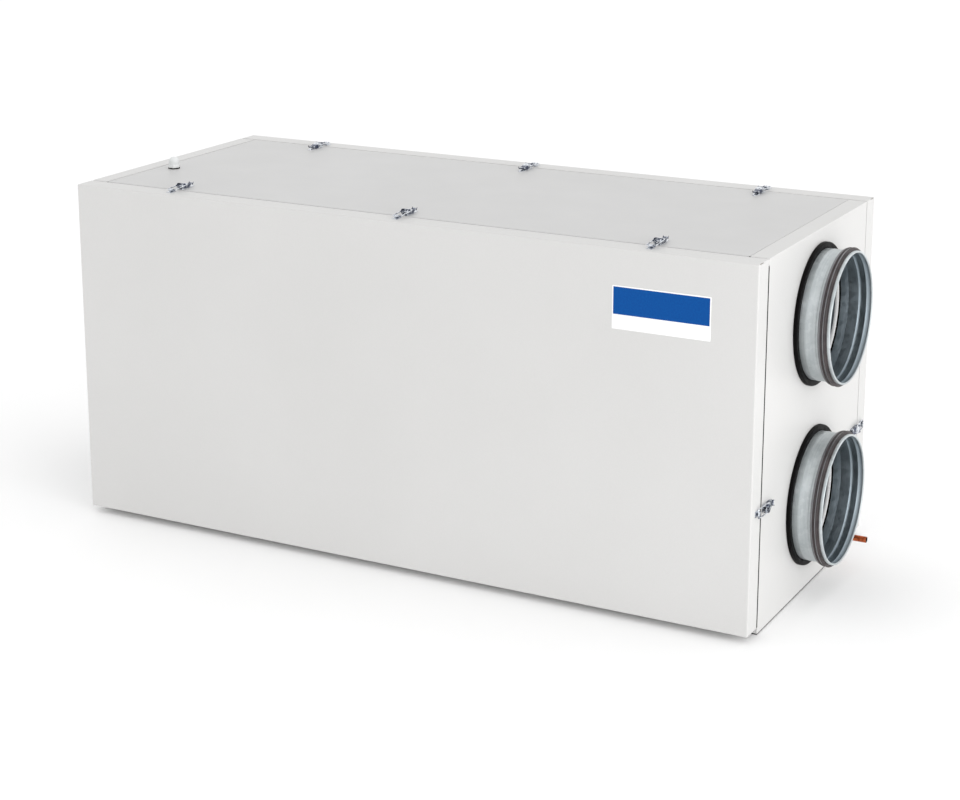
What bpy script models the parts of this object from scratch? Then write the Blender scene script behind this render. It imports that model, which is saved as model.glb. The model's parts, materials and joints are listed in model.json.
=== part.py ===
"""Plate heat recovery unit: an insulated casing with two lift-off doors and four round duct
spigots.  Inside: a cross-flow plate exchanger with a bypass damper, two plug fans, two panel
filters, a condensate tray with a copper drain stub, and a controller box.

Metres, +Z up.  X runs along the length, the front door faces -Y, and the origin is on the floor
under the middle of the casing.
"""

import math

import bmesh
import bpy
from mathutils import Matrix, Vector

# ---- driving dimensions -------------------------------------------------------------------
CASE_LENGTH = 1.464
CASE_HEIGHT = 0.700
UNIT_DEPTH = 0.636  # over both doors

SHEET = 0.001  # folded steel sheet
GAP = 0.0003  # kept between pieces that touch
DOOR_THICKNESS = 0.045
DOOR_SEAM = 0.0060  # between a door and the casing, filled by its gasket
DOOR_CLEARANCE = 0.012  # floor to the door's lower edge
DOOR_EDGE_RADIUS = 0.0025
END_THICKNESS = 0.036
TOP_THICKNESS = 0.030
BASE_THICKNESS = 0.045

DUCT_RADIUS = 0.1247  # outside of the spigot where the duct slides on
NECK_RADIUS = 0.1232  # and of its neck, between that and the panel
DUCT_WALL = 0.0012
DUCT_LENGTH = 0.066  # from the end panel to the mouth
DUCT_STEP = 0.0410  # where the neck widens
UPPER_DUCT_Z = 0.538
LOWER_DUCT_Z = 0.183
DUCT_HOLE_RADIUS = 0.1256
ROUND = 32  # sides of the large round pieces

DRAIN_RADIUS = 0.0060
DRAIN_BORE = 0.0050
DRAIN_Y = 0.137
DRAIN_Z = 0.057
DRAIN_TIP_X = CASE_LENGTH / 2 + 0.072

LATCH_TOP_X = (-0.518, 0.0, 0.518)
LATCH_END_Z = 0.240

GLAND_X = -0.658
GLAND_Y = -0.089
GLAND_RADIUS = 0.011

FAN_X = 0.385  # inlet plate, from the middle
FAN_Z = 0.200
FAN_RADIUS = 0.125
FAN_EYE_RADIUS = 0.080
FAN_WIDTH = 0.080
FAN_BLADES = 7

FILTER_X = 0.400  # face nearest the exchanger
FILTER_DEPTH = 0.048

# ---- derived dimensions -------------------------------------------------------------------
HALF_LENGTH = CASE_LENGTH / 2
HALF_DEPTH = UNIT_DEPTH / 2
CASE_Y = HALF_DEPTH - DOOR_THICKNESS - DOOR_SEAM  # casing's front and rear planes
DOOR_Y = HALF_DEPTH - DOOR_THICKNESS  # door's inner plane
INNER_X = HALF_LENGTH - END_THICKNESS
INNER_TOP = CASE_HEIGHT - TOP_THICKNESS
MID_Z = (BASE_THICKNESS + INNER_TOP) / 2
FIT_Y = 0.262  # half depth of the pieces that stand inside the casing
DOOR_SIDES = (("front", -1), ("rear", 1))
ENDS = (("left", -1), ("right", 1))
LEVELS = (("upper", UPPER_DUCT_Z), ("lower", LOWER_DUCT_Z))


# ---- scene and helpers --------------------------------------------------------------------
for old in list(bpy.data.objects):
    bpy.data.objects.remove(old, do_unlink=True)

parts = bpy.data.collections.new("heat_recovery_unit")
bpy.context.scene.collection.children.link(parts)


def make_material(name, colour, roughness, metallic=0.0):
    material = bpy.data.materials.new(name)
    material.use_nodes = True
    shader = material.node_tree.nodes["Principled BSDF"]
    shader.inputs["Base Color"].default_value = (*colour, 1.0)
    shader.inputs["Roughness"].default_value = roughness
    shader.inputs["Metallic"].default_value = metallic
    return material


def box_mesh(low, high):
    """A bmesh box between two corners."""
    bm = bmesh.new()
    bmesh.ops.create_cube(bm, size=1.0)
    low, high = Vector(low), Vector(high)
    middle = (low + high) / 2
    for vert in bm.verts:
        vert.co = middle + Vector(a * b for a, b in zip(vert.co, high - low))
    return bm


def rod_mesh(start, end, radius, sides=16):
    """A bmesh cylinder between two points."""
    bm = bmesh.new()
    start, end = Vector(start), Vector(end)
    length = (end - start).length
    bmesh.ops.create_cone(
        bm, cap_ends=True, segments=sides, radius1=radius, radius2=radius, depth=length
    )
    turn = (end - start).to_track_quat("Z", "Y").to_matrix().to_4x4()
    bm.transform(Matrix.Translation((start + end) / 2) @ turn)
    return bm


def mesh_object(name, bm, material=None):
    mesh = bpy.data.meshes.new(name)
    bm.to_mesh(mesh)
    bm.free()
    obj = bpy.data.objects.new(name, mesh)
    parts.objects.link(obj)
    if material:
        mesh.materials.append(material)
    return obj


def baked_mesh(obj):
    """The evaluated mesh of a helper object, as a bmesh in world space; the object is removed."""
    bpy.context.view_layer.update()
    graph = bpy.context.evaluated_depsgraph_get()
    mesh = bpy.data.meshes.new_from_object(obj.evaluated_get(graph))
    bm = bmesh.new()
    bm.from_mesh(mesh)
    bm.transform(obj.matrix_world)
    bmesh.ops.remove_doubles(bm, verts=bm.verts, dist=0.000001)
    bpy.data.objects.remove(obj, do_unlink=True)
    bpy.data.meshes.remove(mesh)
    return bm


def combined(body, tools, operation):
    """The body with each tool cut from it, or joined to it, by an exact Boolean."""
    target = mesh_object("work", body)
    helpers = []
    for tool in tools:
        helper = mesh_object("tool", tool)
        boolean = target.modifiers.new("boolean", "BOOLEAN")
        boolean.operation = operation
        boolean.solver = "EXACT"
        boolean.object = helper
        helpers.append(helper)
    bm = baked_mesh(target)
    for helper in helpers:
        bpy.data.objects.remove(helper, do_unlink=True)
    return bm


def cut(body, *tools):
    return combined(body, tools, "DIFFERENCE")


def joined(body, *tools):
    return combined(body, tools, "UNION")


def moved(bm, matrix):
    """A transformed copy of a bmesh."""
    copy = bm.copy()
    copy.transform(matrix)
    if matrix.determinant() < 0:
        bmesh.ops.reverse_faces(copy, faces=copy.faces)
    return copy


def bevelled(bm, width, segments, keep=lambda edge: True):
    edges = [edge for edge in bm.edges if keep(edge)]
    bmesh.ops.bevel(
        bm, geom=edges, offset=width, segments=segments, profile=0.5, affect="EDGES"
    )
    return bm


def outline_mesh(loops, thickness, matrix=Matrix()):
    """A flat plate centred on local XY: the first loop is its outline, the others its holes."""
    curve = bpy.data.curves.new("outline", "CURVE")
    curve.dimensions = "2D"
    curve.fill_mode = "BOTH"
    curve.extrude = thickness / 2
    for loop in loops:
        spline = curve.splines.new("POLY")
        spline.points.add(len(loop) - 1)
        for point, (x, y) in zip(spline.points, loop):
            point.co = (x, y, 0, 1)
        spline.use_cyclic_u = True
    obj = bpy.data.objects.new("outline", curve)
    obj.matrix_world = matrix
    parts.objects.link(obj)
    return baked_mesh(obj)


def turned_mesh(profile, matrix=Matrix(), sides=ROUND):
    """A ring from a closed (radius, height) profile that runs down its outer side."""
    bm = bmesh.new()
    verts = [bm.verts.new((radius, 0, height)) for radius, height in profile]
    for first, second in zip(verts, verts[1:] + verts[:1]):
        bm.edges.new((first, second))
    obj = mesh_object("turned", bm)
    screw = obj.modifiers.new("screw", "SCREW")
    screw.axis = "Z"
    screw.steps = screw.render_steps = sides
    screw.use_merge_vertices = True
    screw.merge_threshold = 0.00001
    obj.matrix_world = matrix
    return baked_mesh(obj)


def arc(centre, radius, start, end, steps):
    """Points along an arc, angles in degrees."""
    points = []
    for i in range(steps + 1):
        angle = math.radians(start + (end - start) * i / steps)
        points.append((centre[0] + radius * math.cos(angle), centre[1] + radius * math.sin(angle)))
    return points


def circle(centre, radius, sides):
    return arc(centre, radius, 0, 360, sides)[:-1]


def finish_piece(name, bm, material, smooth_angle=None):
    """Makes the named sub-part from its mesh."""
    bmesh.ops.recalc_face_normals(bm, faces=bm.faces)
    obj = mesh_object(name, bm, material)
    if smooth_angle:
        obj.data.shade_smooth()
        obj.data.set_sharp_from_angle(angle=math.radians(smooth_angle))
    return obj


# ---- materials ----------------------------------------------------------------------------
coat = make_material("powder_coat", (0.74, 0.73, 0.72), 0.45)
zinc_sheet = make_material("galvanised_sheet", (0.55, 0.57, 0.58), 0.42, 0.9)
bright_zinc = make_material("bright_zinc", (0.74, 0.76, 0.80), 0.22, 1.0)
stainless = make_material("stainless", (0.60, 0.60, 0.59), 0.32, 1.0)
wool = make_material("mineral_wool", (0.62, 0.55, 0.30), 0.95)
black_rubber = make_material("black_rubber", (0.020, 0.018, 0.018), 0.6)
copper = make_material("copper", (0.72, 0.34, 0.18), 0.3, 1.0)
foil = make_material("exchanger_aluminium", (0.80, 0.81, 0.82), 0.3, 1.0)
filter_finish = make_material("filter_fleece", (0.85, 0.86, 0.84), 0.9)
fan_plastic = make_material("fan_plastic", (0.035, 0.035, 0.04), 0.45)
motor_black = make_material("motor_housing", (0.06, 0.06, 0.065), 0.5, 0.6)
box_plastic = make_material("controller_plastic", (0.70, 0.71, 0.70), 0.5)
actuator_plastic = make_material("actuator_plastic", (0.75, 0.33, 0.06), 0.45)
gland_plastic = make_material("gland_plastic", (0.72, 0.73, 0.73), 0.4)


# ---- casing panels ------------------------------------------------------------------------
def end_frame(side):
    """Local Z points out of an end panel; local X and Y stay horizontal and upright."""
    out = Vector((side, 0, 0))
    up = Vector((0, 0, 1))
    across = up.cross(out)
    columns = Matrix((across, up, out)).transposed().to_4x4()
    return Matrix.Translation((side * HALF_LENGTH, 0, 0)) @ columns


def duct_plugs(side, radius):
    """Cylinders that cut both duct holes through an end panel."""
    near, far = side * (INNER_X - 0.01), side * (HALF_LENGTH + 0.01)
    return [rod_mesh((near, 0, z), (far, 0, z), radius, ROUND) for _, z in LEVELS]


def drain_plug(radius):
    start, end = (INNER_X - 0.02, DRAIN_Y, DRAIN_Z), (HALF_LENGTH + 0.01, DRAIN_Y, DRAIN_Z)
    return rod_mesh(start, end, radius, 16)


def end_holes(side, duct_radius, drain_radius):
    plugs = duct_plugs(side, duct_radius)
    if side > 0:
        plugs.append(drain_plug(drain_radius))
    return plugs


def sorted_box(corner_a, corner_b):
    low = [min(a, b) for a, b in zip(corner_a, corner_b)]
    high = [max(a, b) for a, b in zip(corner_a, corner_b)]
    return box_mesh(low, high)


def end_outer_skin(side):
    """Folded pan, open to the inside, with two duct holes."""
    shell = sorted_box((side * INNER_X, -CASE_Y, 0), (side * HALF_LENGTH, CASE_Y, CASE_HEIGHT))
    hollow = sorted_box(
        (side * (INNER_X - 0.01), -CASE_Y + SHEET, SHEET),
        (side * (HALF_LENGTH - SHEET), CASE_Y - SHEET, CASE_HEIGHT - SHEET),
    )
    return cut(shell, hollow, *end_holes(side, DUCT_HOLE_RADIUS, DRAIN_RADIUS + 0.0004))


def end_insulation(side):
    """Mineral wool slab, faced with sheet on its inner side."""
    inset = SHEET + GAP
    slab = sorted_box(
        (side * INNER_X, -CASE_Y + inset, inset),
        (side * (HALF_LENGTH - inset), CASE_Y - inset, CASE_HEIGHT - inset),
    )
    return cut(slab, *end_holes(side, DUCT_HOLE_RADIUS, DRAIN_RADIUS + 0.0004))


PANEL_X = INNER_X - 0.0012  # top and base panels stand between the end panels


def gland_plug(radius):
    low, high = (GLAND_X, GLAND_Y, INNER_TOP - 0.01), (GLAND_X, GLAND_Y, CASE_HEIGHT + 0.01)
    return rod_mesh(low, high, radius, 16)


def top_outer_skin():
    shell = box_mesh((-PANEL_X, -CASE_Y, INNER_TOP), (PANEL_X, CASE_Y, CASE_HEIGHT))
    hollow = box_mesh(
        (-PANEL_X + SHEET, -CASE_Y + SHEET, INNER_TOP - 0.01),
        (PANEL_X - SHEET, CASE_Y - SHEET, CASE_HEIGHT - SHEET),
    )
    return cut(shell, hollow, gland_plug(0.0084))


def top_insulation():
    inset = SHEET + GAP
    slab = box_mesh(
        (-PANEL_X + inset, -CASE_Y + inset, INNER_TOP),
        (PANEL_X - inset, CASE_Y - inset, CASE_HEIGHT - inset),
    )
    return cut(slab, gland_plug(0.0084))


def base_outer_skin():
    shell = box_mesh((-PANEL_X, -CASE_Y, 0), (PANEL_X, CASE_Y, BASE_THICKNESS))
    hollow = box_mesh(
        (-PANEL_X + SHEET, -CASE_Y + SHEET, SHEET),
        (PANEL_X - SHEET, CASE_Y - SHEET, BASE_THICKNESS + 0.01),
    )
    return cut(shell, hollow)


def base_insulation():
    inset = SHEET + GAP
    return box_mesh(
        (-PANEL_X + inset, -CASE_Y + inset, inset),
        (PANEL_X - inset, CASE_Y - inset, BASE_THICKNESS),
    )


TRAY_FLOOR = BASE_THICKNESS + GAP
TRAY_RIM = 0.067
TRAY_X = INNER_X - 0.004
TRAY_Y = 0.2665


def condensate_tray():
    """Stainless pan over the whole floor, with the drain hole in its right end wall."""
    shell = box_mesh((-TRAY_X, -TRAY_Y, TRAY_FLOOR), (TRAY_X, TRAY_Y, TRAY_RIM))
    hollow = box_mesh(
        (-TRAY_X + SHEET, -TRAY_Y + SHEET, TRAY_FLOOR + SHEET),
        (TRAY_X - SHEET, TRAY_Y - SHEET, TRAY_RIM + 0.01),
    )
    return cut(shell, hollow, drain_plug(DRAIN_RADIUS + 0.0004))


for name, side in ENDS:
    finish_piece(name + "_end_insulation", end_insulation(side), wool)
finish_piece("top_insulation", top_insulation(), wool)
finish_piece("base_outer_skin", base_outer_skin(), coat)
finish_piece("base_insulation", base_insulation(), wool)
finish_piece("condensate_tray", condensate_tray(), stainless)


# ---- duct spigots and their seals ---------------------------------------------------------
FLANGE_RADIUS = 0.1305
FLANGE_DEPTH = END_THICKNESS + 0.002  # back of the flange, behind the panel's outer face
RIM_INSIDE = DUCT_RADIUS - 0.0026  # the mouth's edge is rolled inwards
NECK_INSIDE = NECK_RADIUS - DUCT_WALL

SPIGOT_PROFILE = [
    (DUCT_RADIUS, DUCT_LENGTH),
    (DUCT_RADIUS, DUCT_STEP + 0.0015),
    (NECK_RADIUS, DUCT_STEP),
    (NECK_RADIUS, SHEET - FLANGE_DEPTH),
    (FLANGE_RADIUS, SHEET - FLANGE_DEPTH),
    (FLANGE_RADIUS, -FLANGE_DEPTH),
    (NECK_INSIDE, -FLANGE_DEPTH),
    (NECK_INSIDE, DUCT_STEP),
    (DUCT_RADIUS - DUCT_WALL, DUCT_STEP + 0.0015),
    (DUCT_RADIUS - DUCT_WALL, DUCT_LENGTH - 0.0026),
    (RIM_INSIDE, DUCT_LENGTH - 0.0026),
    (RIM_INSIDE, DUCT_LENGTH),
]
SEAL_BORE = DUCT_RADIUS + 0.0008
SEAL_START = 0.0450
LIP_RADIUS = 0.1302
LIP_SEAL_PROFILE = [
    (SEAL_BORE + 0.0016, SEAL_START + 0.0155),
    (LIP_RADIUS, SEAL_START + 0.0108),
    (SEAL_BORE + 0.0018, SEAL_START + 0.0100),
    (LIP_RADIUS - 0.0005, SEAL_START + 0.0034),
    (SEAL_BORE + 0.0016, SEAL_START + 0.0025),
    (SEAL_BORE + 0.0016, SEAL_START),
    (SEAL_BORE, SEAL_START),
    (SEAL_BORE, SEAL_START + 0.0155),
]
GASKET_BORE = NECK_RADIUS + 0.0009
FLANGE_GASKET_PROFILE = [
    (0.1335, 0.0080),
    (0.1350, 0.0065),
    (0.1350, GAP),
    (GASKET_BORE, GAP),
    (GASKET_BORE, 0.0080),
]


spigot = turned_mesh(SPIGOT_PROFILE)
lip_seal = turned_mesh(LIP_SEAL_PROFILE)
flange_gasket = turned_mesh(FLANGE_GASKET_PROFILE)
for end_name, side in ENDS:
    for level_name, height in LEVELS:
        name = f"{end_name}_{level_name}"
        place = end_frame(side) @ Matrix.Translation((0, height, 0))
        finish_piece(name + "_spigot", moved(spigot, place), zinc_sheet, 40)
        finish_piece(name + "_lip_seal", moved(lip_seal, place), black_rubber, 40)
        finish_piece(name + "_flange_gasket", moved(flange_gasket, place), black_rubber, 40)

DRAIN_PROFILE = [
    (DRAIN_RADIUS, DRAIN_TIP_X),
    (DRAIN_RADIUS, TRAY_X - 0.006),
    (DRAIN_BORE, TRAY_X - 0.006),
    (DRAIN_BORE, DRAIN_TIP_X),
]
drain_place = Matrix.Translation((0, DRAIN_Y, DRAIN_Z)) @ Matrix.Rotation(math.pi / 2, 4, "Y")
finish_piece("drain_stub", turned_mesh(DRAIN_PROFILE, drain_place, 16), copper, 40)


# ---- cable gland --------------------------------------------------------------------------
gland_base = Matrix.Translation((GLAND_X, GLAND_Y, CASE_HEIGHT))
gland_dome = arc((0, 0.0160), 0.0095, 84, 0, 4)
GLAND_PROFILE = gland_dome + [
    (0.0095, 0.0100),
    (GLAND_RADIUS, 0.0092),
    (GLAND_RADIUS, 0.0028),
    (GLAND_RADIUS + 0.0012, 0.0020),
    (GLAND_RADIUS + 0.0012, GAP),
    (0.0078, GAP),
    (0.0078, -TOP_THICKNESS - 0.010),
    (0.0010, -TOP_THICKNESS - 0.010),
]
finish_piece("cable_gland", turned_mesh(GLAND_PROFILE, gland_base, 16), gland_plastic, 40)


# ---- doors --------------------------------------------------------------------------------
def door_outer_skin(side):
    """Folded pan, open to the casing, with rounded front edges."""
    face_y = side * HALF_DEPTH
    shell = sorted_box(
        (-HALF_LENGTH, side * DOOR_Y, DOOR_CLEARANCE), (HALF_LENGTH, face_y, CASE_HEIGHT)
    )

    def on_face(edge):
        return all(abs(vert.co.y - face_y) < GAP for vert in edge.verts)

    bevelled(shell, DOOR_EDGE_RADIUS, 3, on_face)
    hollow = sorted_box(
        (-HALF_LENGTH + SHEET, side * (DOOR_Y - 0.01), DOOR_CLEARANCE + SHEET),
        (HALF_LENGTH - SHEET, face_y - side * SHEET, CASE_HEIGHT - SHEET),
    )

    def on_hollow_face(edge):
        return all(abs(vert.co.y - face_y + side * SHEET) < GAP for vert in edge.verts)

    bevelled(hollow, DOOR_EDGE_RADIUS - SHEET, 1, on_hollow_face)
    return cut(shell, hollow)


def door_slab(side, near, far):
    """A flat layer inside a door, between two distances from the casing's middle plane."""
    inset = SHEET + GAP
    return sorted_box(
        (-HALF_LENGTH + inset, side * near, DOOR_CLEARANCE + inset),
        (HALF_LENGTH - inset, side * far, CASE_HEIGHT - inset),
    )


def door_gasket(side):
    """Foam frame in the seam between a door and the casing."""
    edge, width = 0.0005, 0.014
    near, far = side * (CASE_Y + GAP), side * (DOOR_Y - GAP)
    low_z, high_z = DOOR_CLEARANCE + edge, CASE_HEIGHT - edge
    frame = sorted_box((-HALF_LENGTH + edge, near, low_z), (HALF_LENGTH - edge, far, high_z))
    window = sorted_box(
        (-HALF_LENGTH + edge + width, side * (CASE_Y - 0.01), low_z + width),
        (HALF_LENGTH - edge - width, side * (DOOR_Y + 0.01), high_z - width),
    )
    return cut(frame, window)


for name, side in DOOR_SIDES:
    finish_piece(name + "_door_gasket", door_gasket(side), black_rubber)
    slab = door_slab(side, DOOR_Y, HALF_DEPTH - DOOR_EDGE_RADIUS)
    finish_piece(name + "_door_insulation", slab, wool)


# ---- toggle latches -----------------------------------------------------------------------
# Each latch is drawn in its own frame: X along its hinge axis, Y from the seam towards the tail
# of the lever, Z out of the casing.  The door lies at negative Y.  It is drawn for a latch
# 106 mm long, and LATCH_SIZE makes it smaller.
LATCH_SIZE = 0.8
LEVER_PIVOT = Vector((0, 0.010, 0.0085))
LOOP_ARM = 0.012  # lever pivot to loop pivot
LOOP_ANGLE = math.radians(8)
LOOP_PIVOT = LEVER_PIVOT + LOOP_ARM * Vector((0, math.cos(LOOP_ANGLE), math.sin(LOOP_ANGLE)))
HOOK_POINT = Vector((0, -0.0326, 0.0055))  # middle of the loop's crossbar when closed
LEVER_HALF_WIDTH = 0.0090
LEVER_INNER_HALF = 0.0077
LEVER_NOSE = 0.0062
LEVER_TAIL = 0.044
LOOP_HALF_WIDTH = 0.0108
WIRE_RADIUS = 0.0014
PIN_RADIUS = 0.0018
PLATE_TOP = 0.0018  # of the latch and keeper plates

YZ_PLANE = Matrix(((0, 0, 1, 0), (1, 0, 0, 0), (0, 1, 0, 0), (0, 0, 0, 1)))


def lever_mesh():
    """Folded channel round the pivot at its own origin, tapering to a finger tab."""
    nose = arc((0, 0), LEVER_NOSE, 270, 90, 6)
    back = [
        (0.034, -0.0006),
        (LEVER_TAIL - 0.003, -0.0012),
        (LEVER_TAIL, 0.0004),
        (LEVER_TAIL, -0.0010),
        (LEVER_TAIL - 0.0025, -0.0028),
        (0.034, -0.0026),
        (0.027, -0.0060),
        (0.004, -LEVER_NOSE),
    ]
    solid = outline_mesh([nose + back], 2 * LEVER_HALF_WIDTH, YZ_PLANE)
    channel = [
        (-0.010, -0.012),
        (-0.010, 0.012),
        (0.0015, 0.012),
        (0.0015, 0.0045),
        (0.034, -0.0022),
        (0.034, -0.012),
    ]
    hollow = outline_mesh([channel], 2 * LEVER_INNER_HALF, YZ_PLANE)
    loop_pivot = LOOP_PIVOT - LEVER_PIVOT
    reach = Vector((0.02, 0, 0))
    loop_holes = rod_mesh(loop_pivot - reach, loop_pivot + reach, WIRE_RADIUS + 0.0004, 8)
    channelled = cut(solid, hollow, loop_holes)
    pin_reach = Vector((LEVER_HALF_WIDTH - 0.0005, 0, 0))
    lever = joined(channelled, rod_mesh(-pin_reach, pin_reach, PIN_RADIUS, 8))
    taper_start, taper = 0.016, 0.30
    for vert in lever.verts:
        share = max(0.0, (vert.co.y - taper_start) / (LEVER_TAIL - taper_start))
        vert.co.x *= 1 - taper * share
    return lever


def loop_mesh():
    """Wire bail round its own pivot: bent ends, two prongs and the crossbar."""
    reach = HOOK_POINT - LOOP_PIVOT
    along, length = reach.normalized(), reach.length
    tight, wide = 0.0015, 0.004  # bend radii at the pivot and at the crossbar
    half = LOOP_HALF_WIDTH
    flat = [(LEVER_INNER_HALF - 0.0008, 0.0)]
    flat += arc((half - tight, tight), tight, -90, 0, 2)
    flat += arc((half - wide, length - wide), wide, 0, 90, 2)
    flat += [(-x, y) for x, y in reversed(flat)]
    curve = bpy.data.curves.new("loop", "CURVE")
    curve.dimensions = "3D"
    curve.bevel_depth = WIRE_RADIUS
    curve.bevel_resolution = 1
    curve.use_fill_caps = True
    spline = curve.splines.new("POLY")
    spline.points.add(len(flat) - 1)
    for point, (across, distance) in zip(spline.points, flat):
        point.co = (*(along * distance + Vector((across, 0, 0))), 1)
    obj = bpy.data.objects.new("loop", curve)
    parts.objects.link(obj)
    return baked_mesh(obj)


def latch_base_mesh():
    """Base plate with two pivot ears and a round screw tab beyond the lever's tail.  It runs
    half a sheet into the panel that it is welded to."""
    tab_y, tab_radius = 0.059, 0.005
    outline = [(0.0085, 0.002), (0.0085, 0.048), (tab_radius, tab_y - 0.005)]
    outline += arc((0, tab_y), tab_radius, 0, 180, 6)
    outline += [(-tab_radius, tab_y - 0.005), (-0.0085, 0.048), (-0.0085, 0.002)]
    screw_hole = circle((0, tab_y), 0.002, 8)
    thickness = PLATE_TOP + SHEET / 2
    middle = Matrix.Translation((0, 0, PLATE_TOP - thickness / 2))
    plate = outline_mesh([outline, screw_hole], thickness, middle)
    ear_radius, ear_thickness = 0.0042, 0.0012
    pivot = (LEVER_PIVOT.y, LEVER_PIVOT.z)
    foot = PLATE_TOP / 2
    ear_outline = [(pivot[0] + ear_radius, foot)]
    ear_outline += arc(pivot, ear_radius, 0, 180, 6)
    ear_outline += [(pivot[0] - ear_radius, foot)]
    ears = []
    for side in (-1, 1):
        place = Matrix.Translation((side * 0.0066, 0, 0)) @ YZ_PLANE
        pin_hole = circle(pivot, PIN_RADIUS + 0.0005, 8)
        ears.append(outline_mesh([ear_outline, pin_hole], ear_thickness, place))
    return joined(plate, *ears)


def keeper_mesh():
    """Plate welded on the door's edge, with one raised tab that the loop pulls against."""
    tab_foot, tab_tip, tab_top = -0.0304, -0.0309, 0.0082
    near, far = -0.020, -0.042
    profile = [
        (near, -SHEET / 2),
        (far, -SHEET / 2),
        (far, PLATE_TOP),
        (tab_foot, PLATE_TOP),
        (tab_tip, tab_top),
        (tab_tip + 0.0016, tab_top + 0.0004),
        (tab_foot + 0.0018, PLATE_TOP),
        (near, PLATE_TOP),
    ]
    return outline_mesh([profile], 0.014, YZ_PLANE)


def latch_frame(place, tail, out):
    """World matrix of a latch from its seam point, tail direction and outward direction."""
    tail, out = Vector(tail), Vector(out)
    columns = Matrix((tail.cross(out), tail, out)).transposed().to_4x4()
    return Matrix.Translation(place) @ columns


def latch_frames(side):
    """Three latches on top and one at each end, for the door on this side."""
    seam = side * CASE_Y
    tail = (0, -side, 0)
    frames = {}
    for name, x in zip(("top_left", "top_middle", "top_right"), LATCH_TOP_X):
        frames[name] = latch_frame((x, seam, CASE_HEIGHT), tail, (0, 0, 1))
    for name, end in ENDS:
        place = (end * HALF_LENGTH, seam, LATCH_END_Z)
        frames["end_" + name] = latch_frame(place, tail, (end, 0, 0))
    return frames


latch_size = Matrix.Scale(LATCH_SIZE, 4)
lever = moved(lever_mesh(), latch_size)
loop = moved(loop_mesh(), latch_size)
latch_base = moved(latch_base_mesh(), latch_size)
keeper = moved(keeper_mesh(), latch_size)
top_bases = []
end_bases = {"left": [], "right": []}
for door_name, side in DOOR_SIDES:
    keepers = []
    for latch_name, frame in latch_frames(side).items():
        name = f"{door_name}_{latch_name}"
        lever_object = finish_piece(name + "_lever", lever.copy(), bright_zinc, 35)
        lever_object.matrix_world = frame @ Matrix.Translation(LEVER_PIVOT * LATCH_SIZE)
        loop_object = finish_piece(name + "_loop", loop.copy(), bright_zinc, 60)
        loop_object.matrix_world = frame @ Matrix.Translation(LOOP_PIVOT * LATCH_SIZE)
        keepers.append(moved(keeper, frame))
        end_name = latch_name.removeprefix("end_")
        end_bases.get(end_name, top_bases).append(moved(latch_base, frame))
    finish_piece(door_name + "_door_outer_skin", joined(door_outer_skin(side), *keepers), coat)

finish_piece("top_outer_skin", joined(top_outer_skin(), *top_bases), coat)
for name, side in ENDS:
    skin = joined(end_outer_skin(side), *end_bases[name])
    finish_piece(name + "_end_outer_skin", skin, coat)


# ---- plate exchanger ----------------------------------------------------------------------
BLOCK_SIDE = 0.406
BLOCK_FRONT, BLOCK_REAR = -0.2480, 0.1500
BLOCK_RIBS = 14
RIB_DEPTH = 0.003
END_PLATE_SIDE = 0.436
FRAME_PLATE = 0.0015
FRAME_Y = 0.250  # outer faces of the exchanger's end plates
BAR_SIZE = 0.012
BAR_OFFSET = 0.2107  # of the corner bars, along the block's own axes
BYPASS_FRONT = BLOCK_REAR + 0.0020
BYPASS_REAR = FRAME_Y - FRAME_PLATE - 0.0005
DAMPER_Y = (BYPASS_FRONT + BYPASS_REAR) / 2
DAMPER_OUT = 0.190  # from the block's middle to the damper's shaft
DAMPER_SLOPE = 0.035  # middle of the blade along the face
DAMPER_HALF_LENGTH = 0.140
DAMPER_HALF_WIDTH = 0.046
SHAFT_RADIUS = 0.004
BEARING_X = (-0.113, 0.186)  # along the face, each 7 mm thick
SHELF = 0.0016

# Exchanger frame: local X runs down the upper right face, local Y is the unit's depth, and
# local Z points up and to the right, out of that face.
diamond = Matrix.Translation((0, 0, MID_Z)) @ Matrix.Rotation(math.radians(45), 4, "Y")


def plate_block():
    """Stack of thick plates with set-back spacers between them."""
    bm = bmesh.new()
    pitch = (BLOCK_REAR - BLOCK_FRONT) / BLOCK_RIBS
    half = BLOCK_SIDE / 2
    stations = []
    for i in range(BLOCK_RIBS):
        start = BLOCK_FRONT + i * pitch
        stations += [(start, half), (start + pitch * 0.6, half)]
        if i < BLOCK_RIBS - 1:
            stations += [(start + pitch * 0.6, half - RIB_DEPTH), (start + pitch, half - RIB_DEPTH)]
    rings = []
    for y, reach in stations:
        corners = ((-reach, -reach), (reach, -reach), (reach, reach), (-reach, reach))
        rings.append([bm.verts.new((x, y, z)) for x, z in corners])
    for first, second in zip(rings, rings[1:]):
        for i in range(4):
            j = (i + 1) % 4
            bm.faces.new((first[i], first[j], second[j], second[i]))
    bm.faces.new(rings[0])
    bm.faces.new(rings[-1])
    bm.transform(diamond)
    return bm


def shelf_mesh(side):
    """Divider from the exchanger's side corner to the end panel."""
    return sorted_box(
        (side * (BAR_OFFSET * math.sqrt(2) + 0.002), -FIT_Y, MID_Z - SHELF / 2),
        (side * (INNER_X - 0.0025), FIT_Y, MID_Z + SHELF / 2),
    )


def corner_strip(low, high):
    """Upright seal between a corner of the exchanger and the casing."""
    reach = FRAME_Y - 0.002
    return box_mesh((-0.004, -reach, low), (0.004, reach, high))


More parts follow.
